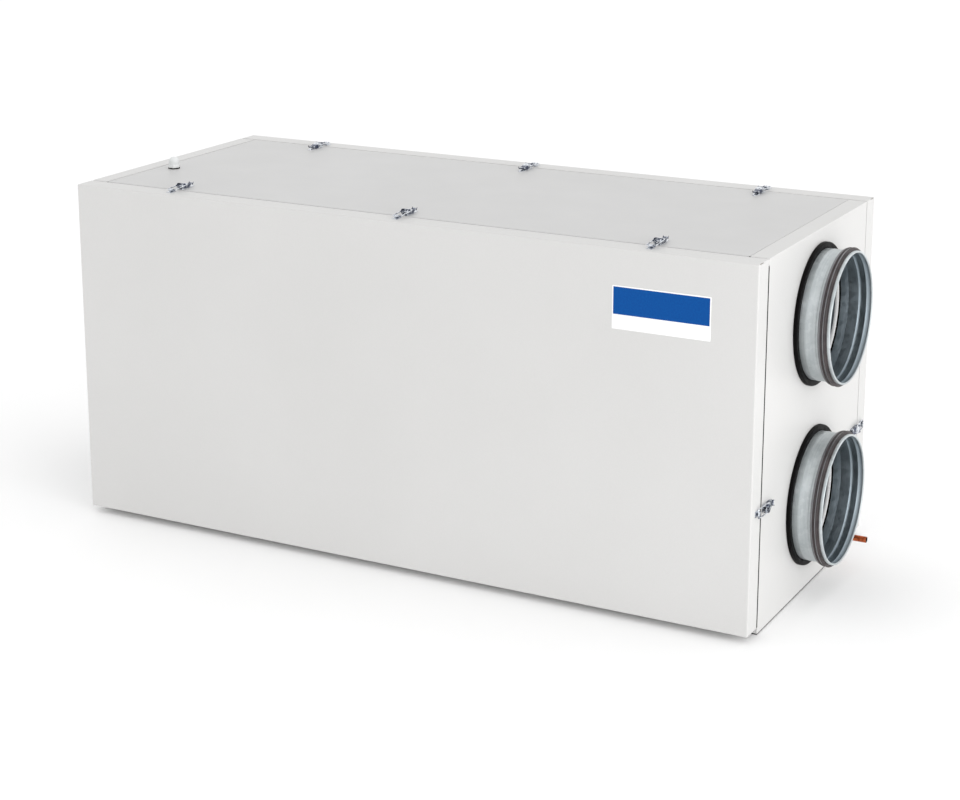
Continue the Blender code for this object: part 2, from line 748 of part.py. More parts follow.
def exchanger_frame_mesh():
    """End plates, bypass wall, corner bars, damper bearings, shelves and corner seals."""
    bite = 0.0005  # how far the welded pieces run into each other
    half = END_PLATE_SIDE / 2
    front = box_mesh((-half, -FRAME_Y, -half), (half, FRAME_PLATE - FRAME_Y, half))
    pieces = [box_mesh((-half, FRAME_Y - FRAME_PLATE, -half), (half, FRAME_Y, half))]
    half = BAR_OFFSET - BAR_SIZE / 2 + 3 * bite
    pieces.append(box_mesh((-half, BLOCK_REAR + GAP, -half), (half, BYPASS_FRONT - GAP, half)))
    reach = FRAME_Y - FRAME_PLATE + bite
    for x in (-BAR_OFFSET, BAR_OFFSET):
        for z in (-BAR_OFFSET, BAR_OFFSET):
            low = (x - BAR_SIZE / 2, -reach, z - BAR_SIZE / 2)
            high = (x + BAR_SIZE / 2, reach, z + BAR_SIZE / 2)
            pieces.append(box_mesh(low, high))
    for x in BEARING_X:
        bearing = box_mesh(
            (x, BYPASS_FRONT - GAP - bite, DAMPER_OUT - 0.008),
            (x + 0.007, FRAME_Y - FRAME_PLATE + bite, DAMPER_OUT + 0.008),
        )
        start, end = (x - 0.01, DAMPER_Y, DAMPER_OUT), (x + 0.02, DAMPER_Y, DAMPER_OUT)
        pieces.append(cut(bearing, rod_mesh(start, end, SHAFT_RADIUS + GAP, 16)))
    for piece in [front] + pieces:
        piece.transform(diamond)
    corner = BAR_OFFSET * math.sqrt(2)
    pieces += [shelf_mesh(-1), shelf_mesh(1)]
    pieces.append(corner_strip(MID_Z + corner, INNER_TOP - GAP))
    pieces.append(corner_strip(TRAY_FLOOR + SHEET + GAP, MID_Z - corner))
    return joined(front, *pieces)


def damper_mesh():
    """Blade and shaft; the origin is on the shaft's axis."""
    blade = box_mesh(
        (-DAMPER_HALF_LENGTH, -DAMPER_HALF_WIDTH, -0.001),
        (DAMPER_HALF_LENGTH, DAMPER_HALF_WIDTH, 0.001),
    )
    start = (-0.172 + 0.010, 0, 0)
    end = (0.1935 - DAMPER_SLOPE, 0, 0)
    return joined(blade, rod_mesh(start, end, SHAFT_RADIUS, 12))


def actuator_mesh():
    """Geared motor on the upper end of the damper's shaft."""
    body = box_mesh((-0.180, 0.162, 0.160), (-0.118, 0.238, 0.205))
    bevelled(body, 0.004, 2)
    bore_start = (-0.132, DAMPER_Y, DAMPER_OUT)
    bore = rod_mesh(bore_start, (-0.100, DAMPER_Y, DAMPER_OUT), 0.0046, 16)
    actuator = cut(body, bore)
    actuator.transform(diamond)
    return actuator


finish_piece("exchanger_plates", plate_block(), foil)
finish_piece("exchanger_frame", exchanger_frame_mesh(), zinc_sheet)
damper = finish_piece("bypass_damper_blade", damper_mesh(), zinc_sheet)
damper.matrix_world = diamond @ Matrix.Translation((DAMPER_SLOPE, DAMPER_Y, DAMPER_OUT))
finish_piece("damper_actuator", actuator_mesh(), actuator_plastic)


# ---- filters ------------------------------------------------------------------------------
FILTER_LOW = MID_Z + 0.0012
FILTER_HIGH = INNER_TOP - 0.002
FILTER_RIM = 0.012
PLEATS = 14


def filter_frame(side):
    far = FILTER_X + FILTER_DEPTH
    frame = sorted_box((side * FILTER_X, -FIT_Y, FILTER_LOW), (side * far, FIT_Y, FILTER_HIGH))
    window = sorted_box(
        (side * (FILTER_X - 0.01), -FIT_Y + FILTER_RIM, FILTER_LOW + FILTER_RIM),
        (side * (far + 0.01), FIT_Y - FILTER_RIM, FILTER_HIGH - FILTER_RIM),
    )
    return cut(frame, window)


def filter_fleece(side):
    """Pleated sheet folded across the air's path, its edges glued a little into the frame."""
    glue = 0.001
    low, high = FILTER_LOW + FILTER_RIM - glue, FILTER_HIGH - FILTER_RIM + glue
    thickness = 0.004
    near, far = FILTER_X + 0.004, FILTER_X + FILTER_DEPTH - 0.004
    step = (high - low) / (2 * PLEATS)
    front, back = [], []
    for i in range(2 * PLEATS + 1):
        z = low + i * step
        x = near if i % 2 else far - thickness
        front.append((x, z))
        back.append((x + thickness, z))
    width = 2 * (FIT_Y - FILTER_RIM + glue)
    upright = Matrix(((side, 0, 0, 0), (0, 0, side, 0), (0, 1, 0, 0), (0, 0, 0, 1)))
    return outline_mesh([front + back[::-1]], width, upright)


for name, side in (("extract", -1), ("outdoor", 1)):
    cartridge = joined(filter_frame(side), filter_fleece(side))
    finish_piece(name + "_filter", cartridge, filter_finish)


# ---- fans ---------------------------------------------------------------------------------
# A fan is drawn with local Z along its axis, from its inlet plate towards the spigot.
FAN_PLATE = 0.0015
WHEEL_START = 0.009
MOTOR_START = WHEEL_START + FAN_WIDTH + 0.004
MOTOR_LENGTH = 0.058
MOTOR_RADIUS = 0.048
MOTOR_SHAFT = 0.006
BRACKET_HALF = 0.118


def fan_frame(side):
    return Matrix.Translation((side * FAN_X, 0, FAN_Z)) @ Matrix.Rotation(
        side * math.pi / 2, 4, "Y"
    )


def fan_inlet_plate(side):
    """Partition with the bell-mouthed inlet of the fan."""
    low = TRAY_FLOOR + SHEET + GAP - FAN_Z
    high = MID_Z - 0.0012 - FAN_Z
    outline = [(low, -FIT_Y), (high, -FIT_Y), (high, FIT_Y), (low, FIT_Y)]
    if side > 0:
        outline = [(-x, y) for x, y in outline]
    hole = circle((0, 0), FAN_EYE_RADIUS, 24)
    plate = outline_mesh([outline, hole], FAN_PLATE, Matrix.Translation((0, 0, FAN_PLATE / 2)))
    bell = [
        (FAN_EYE_RADIUS + 0.004, 0.0005),
        (FAN_EYE_RADIUS - 0.006, WHEEL_START + 0.004),
        (FAN_EYE_RADIUS - 0.008, WHEEL_START + 0.004),
        (FAN_EYE_RADIUS - 0.001, -0.004),
        (FAN_EYE_RADIUS + 0.010, -0.006),
        (FAN_EYE_RADIUS + 0.010, -0.0045),
        (FAN_EYE_RADIUS + 0.004, -0.001),
    ]
    return joined(plate, turned_mesh(bell, Matrix(), 24))


def fan_wheel_mesh():
    """Hub disc, shroud and backward-curved blades, about local Z."""
    top = WHEEL_START + FAN_WIDTH
    hub = rod_mesh((0, 0, top - 0.003), (0, 0, top), FAN_RADIUS, 24)
    boss = rod_mesh((0, 0, top - 0.020), (0, 0, top - 0.001), 0.020, 20)
    shaft = rod_mesh((0, 0, top - 0.001), (0, 0, MOTOR_START + 0.030), MOTOR_SHAFT, 16)
    shroud_profile = [
        (FAN_RADIUS, WHEEL_START + 0.014),
        (FAN_EYE_RADIUS + 0.004, WHEEL_START + 0.006),
        (FAN_EYE_RADIUS, WHEEL_START),
        (FAN_EYE_RADIUS - 0.002, WHEEL_START),
        (FAN_EYE_RADIUS + 0.001, WHEEL_START + 0.009),
        (FAN_RADIUS, WHEEL_START + 0.017),
    ]
    shroud = turned_mesh(shroud_profile, Matrix(), 24)
    blades = []
    for i in range(FAN_BLADES):
        outer, inner = [], []
        for step in range(4):
            share = step / 3
            radius = 0.070 + (FAN_RADIUS - 0.002 - 0.070) * share
            sweep = math.radians(-42) * share
            outer.append((radius * math.cos(sweep), radius * math.sin(sweep)))
            inner.append((outer[-1][0] + 0.0006, outer[-1][1] + 0.0024))
        start, end = WHEEL_START + 0.0125, top - 0.001
        place = Matrix.Rotation(2 * math.pi * i / FAN_BLADES, 4, "Z")
        place = place @ Matrix.Translation((0, 0, (start + end) / 2))
        blades.append(outline_mesh([outer + inner[::-1]], end - start, place))
    return joined(shroud, *blades, hub, boss, shaft)


def fan_mount_mesh(side):
    """Inlet plate, four stand-off rods, cross-shaped bracket and the motor's stator."""
    bite = 0.0005
    bracket_z = MOTOR_START + MOTOR_LENGTH
    motor = cut(
        rod_mesh((0, 0, MOTOR_START), (0, 0, bracket_z + bite), MOTOR_RADIUS, 20),
        rod_mesh((0, 0, 0), (0, 0, MOTOR_START + 0.031), MOTOR_SHAFT + GAP, 16),
    )
    arm = 0.014
    reach = BRACKET_HALF * math.sqrt(2) + arm
    cross = []
    for quarter in range(4):
        turn = Matrix.Rotation(quarter * math.pi / 2 + math.pi / 4, 2)
        for x, y in ((reach, -arm), (reach, arm), (arm, arm)):
            cross.append(tuple(turn @ Vector((x, y))))
    bracket = outline_mesh([cross], 0.003, Matrix.Translation((0, 0, bracket_z + 0.0015)))
    rods = []
    for x in (-BRACKET_HALF, BRACKET_HALF):
        for y in (-BRACKET_HALF, BRACKET_HALF):
            start, end = (x, y, FAN_PLATE - bite), (x, y, bracket_z + bite)
            rods.append(rod_mesh(start, end, 0.005, 8))
    mount = joined(fan_inlet_plate(side), bracket, motor, *rods)
    mount.transform(fan_frame(side))
    return mount


fan_wheel = fan_wheel_mesh()
for name, side in (("supply", -1), ("exhaust", 1)):
    finish_piece(name + "_fan_mount", fan_mount_mesh(side), motor_black, 40)
    wheel = finish_piece(name + "_fan_wheel", fan_wheel.copy(), fan_plastic, 30)
    wheel.matrix_world = fan_frame(side)


# ---- controller box -----------------------------------------------------------------------
def controller_mesh():
    """Closed enclosure whose lid faces the front door."""
    lid_y = -FIT_Y
    body = box_mesh((-0.660, lid_y + 0.022, 0.385), (-0.500, -0.180, 0.640))
    bevelled(body, 0.004, 2)
    lid = box_mesh((-0.663, lid_y, 0.382), (-0.497, lid_y + 0.0225, 0.643))
    bevelled(lid, 0.003, 2)
    return joined(body, lid)


finish_piece("controller_box", controller_mesh(), box_plastic, 30)
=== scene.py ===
"""Looks of the heat recovery unit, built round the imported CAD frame.

Metres, +Z up, the front door faces -Y. Detailed pieces stand for most CAD nodes; those in KEPT
keep their CAD shape and get better materials.
"""

import json
import math

import bmesh
import bpy
from mathutils import Matrix, Vector


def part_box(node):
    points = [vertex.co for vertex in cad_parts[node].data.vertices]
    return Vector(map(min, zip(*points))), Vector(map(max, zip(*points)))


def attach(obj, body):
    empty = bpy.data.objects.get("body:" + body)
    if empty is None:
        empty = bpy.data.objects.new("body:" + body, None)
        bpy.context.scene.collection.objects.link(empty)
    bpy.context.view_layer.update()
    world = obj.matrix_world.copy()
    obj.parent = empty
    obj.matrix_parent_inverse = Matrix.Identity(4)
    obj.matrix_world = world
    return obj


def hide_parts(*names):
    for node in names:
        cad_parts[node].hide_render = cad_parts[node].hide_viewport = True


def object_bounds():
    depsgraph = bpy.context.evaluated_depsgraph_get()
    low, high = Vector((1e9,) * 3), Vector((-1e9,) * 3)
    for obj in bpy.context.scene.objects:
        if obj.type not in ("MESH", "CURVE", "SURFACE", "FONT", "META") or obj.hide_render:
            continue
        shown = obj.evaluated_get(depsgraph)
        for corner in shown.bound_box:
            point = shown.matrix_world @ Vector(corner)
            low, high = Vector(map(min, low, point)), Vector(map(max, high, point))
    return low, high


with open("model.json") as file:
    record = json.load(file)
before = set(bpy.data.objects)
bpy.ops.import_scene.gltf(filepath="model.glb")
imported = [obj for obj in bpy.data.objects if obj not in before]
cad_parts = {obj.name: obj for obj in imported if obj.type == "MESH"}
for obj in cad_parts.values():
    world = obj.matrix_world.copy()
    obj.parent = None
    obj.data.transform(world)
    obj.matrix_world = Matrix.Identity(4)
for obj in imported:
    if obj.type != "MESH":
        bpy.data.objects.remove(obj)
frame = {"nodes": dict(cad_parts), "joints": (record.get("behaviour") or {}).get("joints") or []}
cad_low, cad_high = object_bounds()

# ---- measures
SHEET = 0.001
SKIN = 0.0013  # from an insulation slab to the outer face of its painted skin
PANEL_FOLD = 0.0016  # fold radius of the casing's panels
DOOR_FOLD = 0.0025
FOOT_SHADOW_STRIP = 0.0016  # black rubber strip under the casing's rim, a painted shadow line at the floor
ROUND = 160  # sides of the large turned pieces

end_slab_low, end_slab_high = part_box("right_end_insulation")
top_slab_low, top_slab_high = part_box("top_insulation")
base_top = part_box("base_insulation")[1].z
door_slab_low, door_slab_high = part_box("rear_door_insulation")
HALF_LENGTH = end_slab_high.x + SKIN
INNER_X = end_slab_low.x
CASE_Y = end_slab_high.y + SKIN
CASE_TOP = top_slab_high.z + SKIN
PANEL_X = top_slab_high.x + SKIN
DOOR_Y = door_slab_low.y
HALF_DEPTH = door_slab_high.y + DOOR_FOLD
DOOR_FOOT = door_slab_low.z - SKIN

UP = Vector((0, 0, 1))
ENDS = (("left", -1), ("right", 1))
LEVELS = ("upper", "lower")
DOORS = (("front", -1), ("rear", 1))


# ---- camera and studio
def linked(name, data):
    obj = bpy.data.objects.new(name, data)
    bpy.context.scene.collection.objects.link(obj)
    return obj


def make_camera():
    """Slightly above the right-hand front corner, with a long lens and a little shift."""
    data = bpy.data.cameras.new("camera")
    data.sensor_width = 36.0
    data.lens = 79.2
    data.shift_y = -0.12
    data.clip_end = 200.0
    camera = linked("camera", data)
    camera.location = (1.953, -3.639, 1.557)
    camera.rotation_euler = [math.radians(angle) for angle in (75.72, 0.0, 27.95)]
    bpy.context.scene.camera = camera


def soft_light(name, place, target, size, power):
    data = bpy.data.lights.new(name, "AREA")
    data.shape = "RECTANGLE"
    data.size, data.size_y = size
    data.energy = power
    light = linked(name, data)
    light.location = place
    direction = Vector(target) - Vector(place)
    light.rotation_euler = direction.to_track_quat("-Z", "Y").to_euler()


def make_studio():
    """Pale floor, even white surroundings, one large side light and one overhead."""
    scene = bpy.context.scene
    scene.view_settings.view_transform = "Standard"
    world = bpy.data.worlds.new("studio")
    world.use_nodes = True
    background = world.node_tree.nodes["Background"]
    background.inputs["Color"].default_value = (1.0, 1.0, 1.0, 1.0)
    background.inputs["Strength"].default_value = 1.06
    scene.world = world
    middle = (0.0, 0.0, 0.35)
    soft_light("side_light", (7.0, -3.1, 1.5), middle, (4.8, 3.2), 240)
    soft_light("top_light", (-0.4, 0.2, 4.4), middle, (4.5, 3.0), 3)
    floor = linked("floor", bpy.data.meshes.new("floor"))
    bm = bmesh.new()
    bmesh.ops.create_circle(bm, cap_ends=True, segments=96, radius=60.0)
    bm.to_mesh(floor.data)
    bm.free()
    under_strip = 0.0003
    floor.location = (0, 0, cad_low.z - FOOT_SHADOW_STRIP - under_strip)
    floor.data.materials.append(floor_material())


# ---- material nodes
class Recipe:
    """A material's node tree, with short ways to add the textures that drive it."""

    def __init__(self, name, metallic=0.0):
        self.material = bpy.data.materials.new(name)
        self.material.use_nodes = True
        self.nodes = self.material.node_tree.nodes
        self.links = self.material.node_tree.links
        self.shader = self.nodes["Principled BSDF"]
        self.shader.inputs["Metallic"].default_value = metallic
        self.place = self.nodes.new("ShaderNodeTexCoord").outputs["Object"]
        self.normal = None

    def add(self, kind, inputs):
        """A new node, each of its inputs a constant or another node's output."""
        node = self.nodes.new("ShaderNode" + kind)
        for name, value in inputs.items():
            if isinstance(value, bpy.types.NodeSocket):
                self.links.new(value, node.inputs[name])
            else:
                node.inputs[name].default_value = value
        return node

    def noise(self, scale, detail=3.0, rough=0.5, stretch=(1, 1, 1)):
        place = self.add("Mapping", {"Vector": self.place, "Scale": stretch}).outputs["Vector"]
        inputs = {"Vector": place, "Scale": scale, "Detail": detail, "Roughness": rough}
        return self.add("TexNoise", inputs).outputs["Fac"]

    def crystals(self, scale):
        """Cells, each with a grey of its own."""
        cells = self.add("TexVoronoi", {"Vector": self.place, "Scale": scale})
        return self.add("SeparateColor", {"Color": cells.outputs["Color"]}).outputs["Red"]

    def ramp(self, value, dark, light, start=0.3, end=0.7):
        node = self.add("ValToRGB", {"Fac": value})
        first, last = node.color_ramp.elements
        first.position, last.position = start, end
        first.color, last.color = (*dark, 1.0), (*light, 1.0)
        return node.outputs["Color"]

    def mix(self, share, first, second, blend="MIX"):
        node = self.nodes.new("ShaderNodeMix")
        node.data_type = "RGBA"
        node.blend_type = blend
        factor, socket_a, socket_b = [socket for socket in node.inputs if socket.enabled]
        factor.default_value = share
        self.links.new(first, socket_a)
        self.links.new(second, socket_b)
        return [socket for socket in node.outputs if socket.enabled][0]

    def shaded(self, base, value, dark, share=1.0, start=0.3, end=0.7):
        """The base colour multiplied by a ramp from this dark to white."""
        return self.mix(share, base, self.ramp(value, dark, (1, 1, 1), start, end), "MULTIPLY")

    def bump(self, value, depth):
        """Adds relief of about this depth in metres, on top of what is there already."""
        inputs = {"Strength": 1.0, "Distance": depth, "Height": value}
        if self.normal:
            inputs["Normal"] = self.normal
        self.normal = self.add("Bump", inputs).outputs["Normal"]
        self.links.new(self.normal, self.shader.inputs["Normal"])

    def colour(self, value):
        self.links.new(value, self.shader.inputs["Base Color"])

    def roughness(self, value, low, high):
        """Roughness from low to high as the value goes through its middle half."""
        inputs = {"Value": value, "From Min": 0.25, "From Max": 0.75, "To Min": low, "To Max": high}
        spread = self.add("MapRange", inputs)
        self.links.new(spread.outputs["Result"], self.shader.inputs["Roughness"])


def floor_material():
    recipe = Recipe("studio_floor")
    recipe.colour(recipe.ramp(recipe.noise(0.8), (0.955, 0.955, 0.955), (0.975, 0.975, 0.975)))
    recipe.roughness(recipe.noise(3.0), 0.75, 0.85)
    return recipe.material


def powder_coat(name, dark, light):
    """Warm light grey texture coat: fine orange peel, faint clouding, softly varied gloss."""
    recipe = Recipe(name)
    cloud = recipe.ramp(recipe.noise(2.3), dark, light)
    recipe.colour(recipe.shaded(cloud, recipe.noise(700, 2.0), (0.94, 0.94, 0.94), 0.5))
    recipe.roughness(recipe.noise(9.0, 5.0), 0.36, 0.46)
    recipe.bump(recipe.noise(420, 2.0), 0.00006)
    recipe.bump(recipe.noise(1500, 1.0), 0.00002)
    return recipe.material


def galvanised(name, stretch, dark, light, shine=0.0, metallic=1.0):
    """Hot-dip zinc: crystals of a few millimetres, rolling streaks and dull patches."""
    recipe = Recipe(name, metallic=metallic)
    crystal = recipe.crystals(150)
    streak = recipe.noise(1.0, 4.0, 0.6, stretch)
    patch = recipe.noise(14.0, 4.0)
    base = recipe.ramp(patch, dark, light, 0.25, 0.75)
    flaked = recipe.shaded(base, crystal, (0.86, 0.87, 0.88), 1.0, 0.0, 1.0)
    recipe.colour(recipe.shaded(flaked, streak, (0.80, 0.82, 0.83)))
    recipe.roughness(recipe.mix(0.45, patch, crystal), 0.30 - shine, 0.50 - shine)
    recipe.bump(streak, 0.00006)
    recipe.bump(crystal, 0.00002)
    return recipe.material


def bright_zinc(name, start, end):
    """Bright blue passivated zinc plate on pressed steel, with faint rub marks."""
    recipe = Recipe(name, metallic=1.0)
    cloud = recipe.noise(95, 3.0)
    tint = recipe.ramp(cloud, (0.075, 0.090, 0.140), (0.82, 0.85, 0.88), start, end)
    rub = recipe.noise(1.0, 3.0, 0.6, (900, 90, 900))
    recipe.colour(recipe.shaded(tint, rub, (0.80, 0.80, 0.83)))
    recipe.roughness(recipe.noise(260, 4.0), 0.12, 0.26)
    recipe.bump(rub, 0.00002)
    return recipe.material


def black_rubber(name, dark, light, shine):
    """EPDM, a little bloomed, with a fine moulded grain."""
    recipe = Recipe(name)
    bloom = recipe.noise(38, 5.0, 0.6)
    recipe.shader.inputs["Specular IOR Level"].default_value = shine
    recipe.colour(recipe.ramp(bloom, dark, light))
    recipe.roughness(recipe.noise(90, 4.0), 0.42, 0.60)
    recipe.bump(recipe.noise(1600, 2.0), 0.00004)
    return recipe.material


def copper():
    """Drawn tube, orange-brown, tarnished in soft patches."""
    recipe = Recipe("copper", metallic=1.0)
    tarnish = recipe.noise(130, 4.0, 0.6)
    draw = recipe.noise(1.0, 3.0, 0.5, (2200, 2200, 40))
    base = recipe.ramp(tarnish, (0.25, 0.050, 0.020), (0.62, 0.165, 0.062), 0.35, 0.62)
    recipe.colour(recipe.shaded(base, draw, (0.8, 0.8, 0.8)))
    recipe.roughness(tarnish, 0.42, 0.22)
    recipe.bump(draw, 0.00002)
    return recipe.material


def mineral_wool():
    """Felted fibres in layers, mustard with paler and browner strands."""
    recipe = Recipe("mineral_wool")
    strand = recipe.noise(1.0, 6.0, 0.7, (900, 900, 260))
    layer = recipe.noise(1.0, 4.0, 0.6, (30, 30, 420))
    base = recipe.ramp(strand, (0.30, 0.24, 0.09), (0.66, 0.57, 0.32))
    recipe.colour(recipe.shaded(base, layer, (0.72, 0.70, 0.66)))
    recipe.roughness(strand, 0.85, 1.0)
    recipe.bump(strand, 0.0012)
    recipe.bump(layer, 0.0010)
    return recipe.material


def moulded_plastic(name, dark, light, rough, grain=900, depth=0.00005):
    """Moulded plastic: fine spark-eroded grain and faint flow marks; rough is a pair."""
    recipe = Recipe(name)
    recipe.colour(recipe.ramp(recipe.noise(22, 4.0), dark, light))
    recipe.roughness(recipe.noise(60, 4.0), *rough)
    recipe.bump(recipe.noise(grain, 2.0), depth)
    return recipe.material


def brushed_metal(name, dark, light, stretch, rough):
    """Metal brushed or rolled along one direction."""
    recipe = Recipe(name, metallic=1.0)
    line = recipe.noise(1.0, 5.0, 0.6, stretch)
    recipe.colour(recipe.ramp(line, dark, light))
    recipe.roughness(line, *rough)
    recipe.bump(line, 0.00003)
    return recipe.material


def filter_fleece():
    """Thermally bonded fleece: crossed fibres, off-white, greying a little in patches."""
    recipe = Recipe("filter_fleece")
    fibre = recipe.noise(1.0, 6.0, 0.75, (1400, 500, 1400))
    base = recipe.ramp(fibre, (0.60, 0.61, 0.60), (0.90, 0.90, 0.88))
    recipe.colour(recipe.shaded(base, recipe.noise(24, 4.0), (0.86, 0.86, 0.85)))
    recipe.roughness(fibre, 0.85, 1.0)
    recipe.bump(fibre, 0.0005)
    return recipe.material


def printed_film(name, dark, light):
    """Laminated label film: almost smooth, with the faintest print mottle."""
    recipe = Recipe(name)
    recipe.colour(recipe.ramp(recipe.noise(300, 3.0), dark, light))
    recipe.shader.inputs["Specular IOR Level"].default_value = 0.12
    recipe.roughness(recipe.noise(40, 3.0), 0.40, 0.50)
    recipe.bump(recipe.noise(260, 2.0), 0.00002)
    return recipe.material


ALONG_X = (6, 500, 500)  # streaks that run along X
ROUND_Z = (7, 7, 420)  # streaks that run round a turned piece's own axis
coat = powder_coat("powder_coat", (0.597, 0.593, 0.585), (0.624, 0.620, 0.613))
# The top panel's copy of the powder coat is darker: painted shade on the top.
shaded_top_coat = powder_coat("shaded_top_coat", (0.532, 0.530, 0.527), (0.553, 0.552, 0.550))
spigot_zinc = galvanised(
    "spigot_zinc", ROUND_Z, (0.44, 0.475, 0.480), (0.70, 0.735, 0.745), metallic=0.5
)
# The bores' zinc is darker and bluer than the outside's: painted shade inside the spigots.
shaded_bore_zinc = galvanised("shaded_bore_zinc", ROUND_Z, (0.375, 0.435, 0.475), (0.450, 0.510, 0.550), -0.08)
dull_zinc = galvanised("dull_zinc", ROUND_Z, (0.17, 0.165, 0.175), (0.36, 0.35, 0.36))
sheet_zinc = galvanised("sheet_zinc", ALONG_X, (0.50, 0.52, 0.53), (0.70, 0.72, 0.73))
zinc_plate = bright_zinc("bright_zinc", 0.36, 0.50)
lever_zinc = bright_zinc("lever_zinc", 0.44, 0.60)
rubber = black_rubber("black_rubber", (0.0015, 0.0013, 0.0015), (0.0045, 0.0036, 0.0038), 0.06)
lip_rubber = black_rubber("lip_rubber", (0.015, 0.0120, 0.0125), (0.056, 0.044, 0.045), 0.35)
copper_tube = copper()
wool = mineral_wool()
stainless = brushed_metal(
    "stainless", (0.50, 0.50, 0.49), (0.70, 0.70, 0.69), ALONG_X, (0.24, 0.38)
)
foil = brushed_metal("foil", (0.68, 0.69, 0.70), (0.88, 0.89, 0.90), (60, 900, 60), (0.22, 0.36))
fleece = filter_fleece()
fan_black = moulded_plastic(
    "fan_black", (0.022, 0.022, 0.025), (0.045, 0.045, 0.050), (0.36, 0.50)
)
motor_black = moulded_plastic(
    "motor_black", (0.03, 0.03, 0.032), (0.06, 0.06, 0.064), (0.42, 0.6), 500
)
box_grey = moulded_plastic("box_grey", (0.60, 0.61, 0.60), (0.68, 0.69, 0.68), (0.42, 0.54))
orange = moulded_plastic("actuator_orange", (0.62, 0.20, 0.02), (0.78, 0.29, 0.04), (0.4, 0.5))
gland_grey = moulded_plastic("gland_grey", (0.62, 0.64, 0.64), (0.74, 0.75, 0.75), (0.34, 0.44))
card = moulded_plastic(
    "filter_card", (0.72, 0.69, 0.62), (0.82, 0.80, 0.74), (0.8, 0.9), 500, 0.0001
)
label_white = printed_film("label_white", (0.86, 0.86, 0.86), (0.92, 0.92, 0.92))
label_blue = printed_film("label_blue", (0.000, 0.060, 0.265), (0.000, 0.075, 0.305))


# ---- mesh helpers
def box_mesh(corner_a, corner_b):
    bm = bmesh.new()
    bmesh.ops.create_cube(bm, size=1.0)
    low = Vector(map(min, corner_a, corner_b))
    high = Vector(map(max, corner_a, corner_b))
    for vert in bm.verts:
        vert.co = (low + high) / 2 + Vector(a * b for a, b in zip(vert.co, high - low))
    return bm


def rod_mesh(start, end, radius, sides):
    bm = bmesh.new()
    start, end = Vector(start), Vector(end)
    sizes = {"segments": sides, "radius1": radius, "radius2": radius, "depth": (end - start).length}
    bmesh.ops.create_cone(bm, cap_ends=True, **sizes)
    turn = (end - start).to_track_quat("Z", "Y").to_matrix().to_4x4()
    bm.transform(at(*(start + end) / 2) @ turn)
    return bm


def at(*place):
    return Matrix.Translation(place)


def facing(out, up):
    """Turns local Z to point out and local Y to point up."""
    return Matrix((up.cross(out), up, out)).transposed().to_4x4()


FACING_FRONT = Matrix.Rotation(math.pi / 2, 4, "X")  # local Z towards the front, Y up


def centre_of(node):
    low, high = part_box(node)
    return (low + high) / 2


def arc(centre, radius, start, end, steps):
    """Points along an arc, angles in degrees."""
    angles = [math.radians(start + (end - start) * i / steps) for i in range(steps + 1)]
    return [(centre[0] + radius * math.cos(a), centre[1] + radius * math.sin(a)) for a in angles]


def circle(centre, radius, sides):
    return arc(centre, radius, 0, 360, sides)[:-1]


def rounded_rectangle(width, height, radius, steps=5):
    x, y = width / 2 - radius, height / 2 - radius
    outline = []
    for cx, cy, start in ((x, y, 0), (-x, y, 90), (-x, -y, 180), (x, -y, 270)):
        outline += arc((cx, cy), radius, start, start + 90, steps)
    return outline


def shifted(points, x, y):
    return [(x + across, y + along) for across, along in points]


def turned_mesh(profile, sides, matrix=Matrix()):
    """A ring from a closed (radius, height) profile; its axis is local Z."""
    bm = bmesh.new()
    rings = []
    for i in range(sides):
        turn = Matrix.Rotation(2 * math.pi * i / sides, 3, "Z")
        rings.append([bm.verts.new(turn @ Vector((r, 0, z))) for r, z in profile])
    for first, second in zip(rings, rings[1:] + rings[:1]):
        for j in range(len(profile)):
            k = (j + 1) % len(profile)
            bm.faces.new((first[j], first[k], second[k], second[j]))
    bmesh.ops.remove_doubles(bm, verts=bm.verts, dist=0.0000005)
    bmesh.ops.recalc_face_normals(bm, faces=bm.faces)
    bm.transform(matrix)
    return bm


def realised(obj):
    """The evaluated mesh of a helper object, as a bmesh in world space; the object is removed."""
    bpy.context.view_layer.update()
    graph = bpy.context.evaluated_depsgraph_get()
    mesh = bpy.data.meshes.new_from_object(obj.evaluated_get(graph))
    bm = bmesh.new()
    bm.from_mesh(mesh)
    bm.transform(obj.matrix_world)
    bmesh.ops.remove_doubles(bm, verts=bm.verts, dist=0.0000005)
    bpy.data.objects.remove(obj, do_unlink=True)
    bpy.data.meshes.remove(mesh)
    return bm


def helper_object(bm):
    obj = linked("helper", bpy.data.meshes.new("helper"))
    bm.to_mesh(obj.data)
    bm.free()
    return obj


def combined(body, tools, operation):
    target = helper_object(body)
    helpers = [helper_object(tool) for tool in tools]
    for helper in helpers:
        boolean = target.modifiers.new("boolean", "BOOLEAN")
        boolean.operation = operation
        boolean.solver = "EXACT"
        boolean.object = helper
    bm = realised(target)
    for helper in helpers:
        bpy.data.objects.remove(helper, do_unlink=True)
    return bm


def cut(body, *tools):
    return combined(body, tools, "DIFFERENCE")


def joined(body, *tools):
    return combined(body, tools, "UNION")


def curve_mesh(curve, lines, closed, matrix=Matrix()):
    """The mesh that this curve makes of these lines of points."""
    for line in lines:
        spline = curve.splines.new("POLY")
        spline.points.add(len(line) - 1)
        for point, place in zip(spline.points, line):
            point.co = (*place, 1)
        spline.use_cyclic_u = closed
    obj = linked("curve", curve)
    obj.matrix_world = matrix
    return realised(obj)


def plate_mesh(loops, thickness, matrix=Matrix(), edge=0.0):
    """A flat plate centred on local XY: its outline first, then its holes; edge rounds it."""
    curve = bpy.data.curves.new("plate", "CURVE")
    curve.dimensions = "2D"
    curve.fill_mode = "BOTH"
    curve.extrude = thickness / 2 - edge
    curve.bevel_depth = edge
    curve.bevel_resolution = 2
    curve.offset = -edge
    return curve_mesh(curve, [[(x, y, 0) for x, y in loop] for loop in loops], True, matrix)


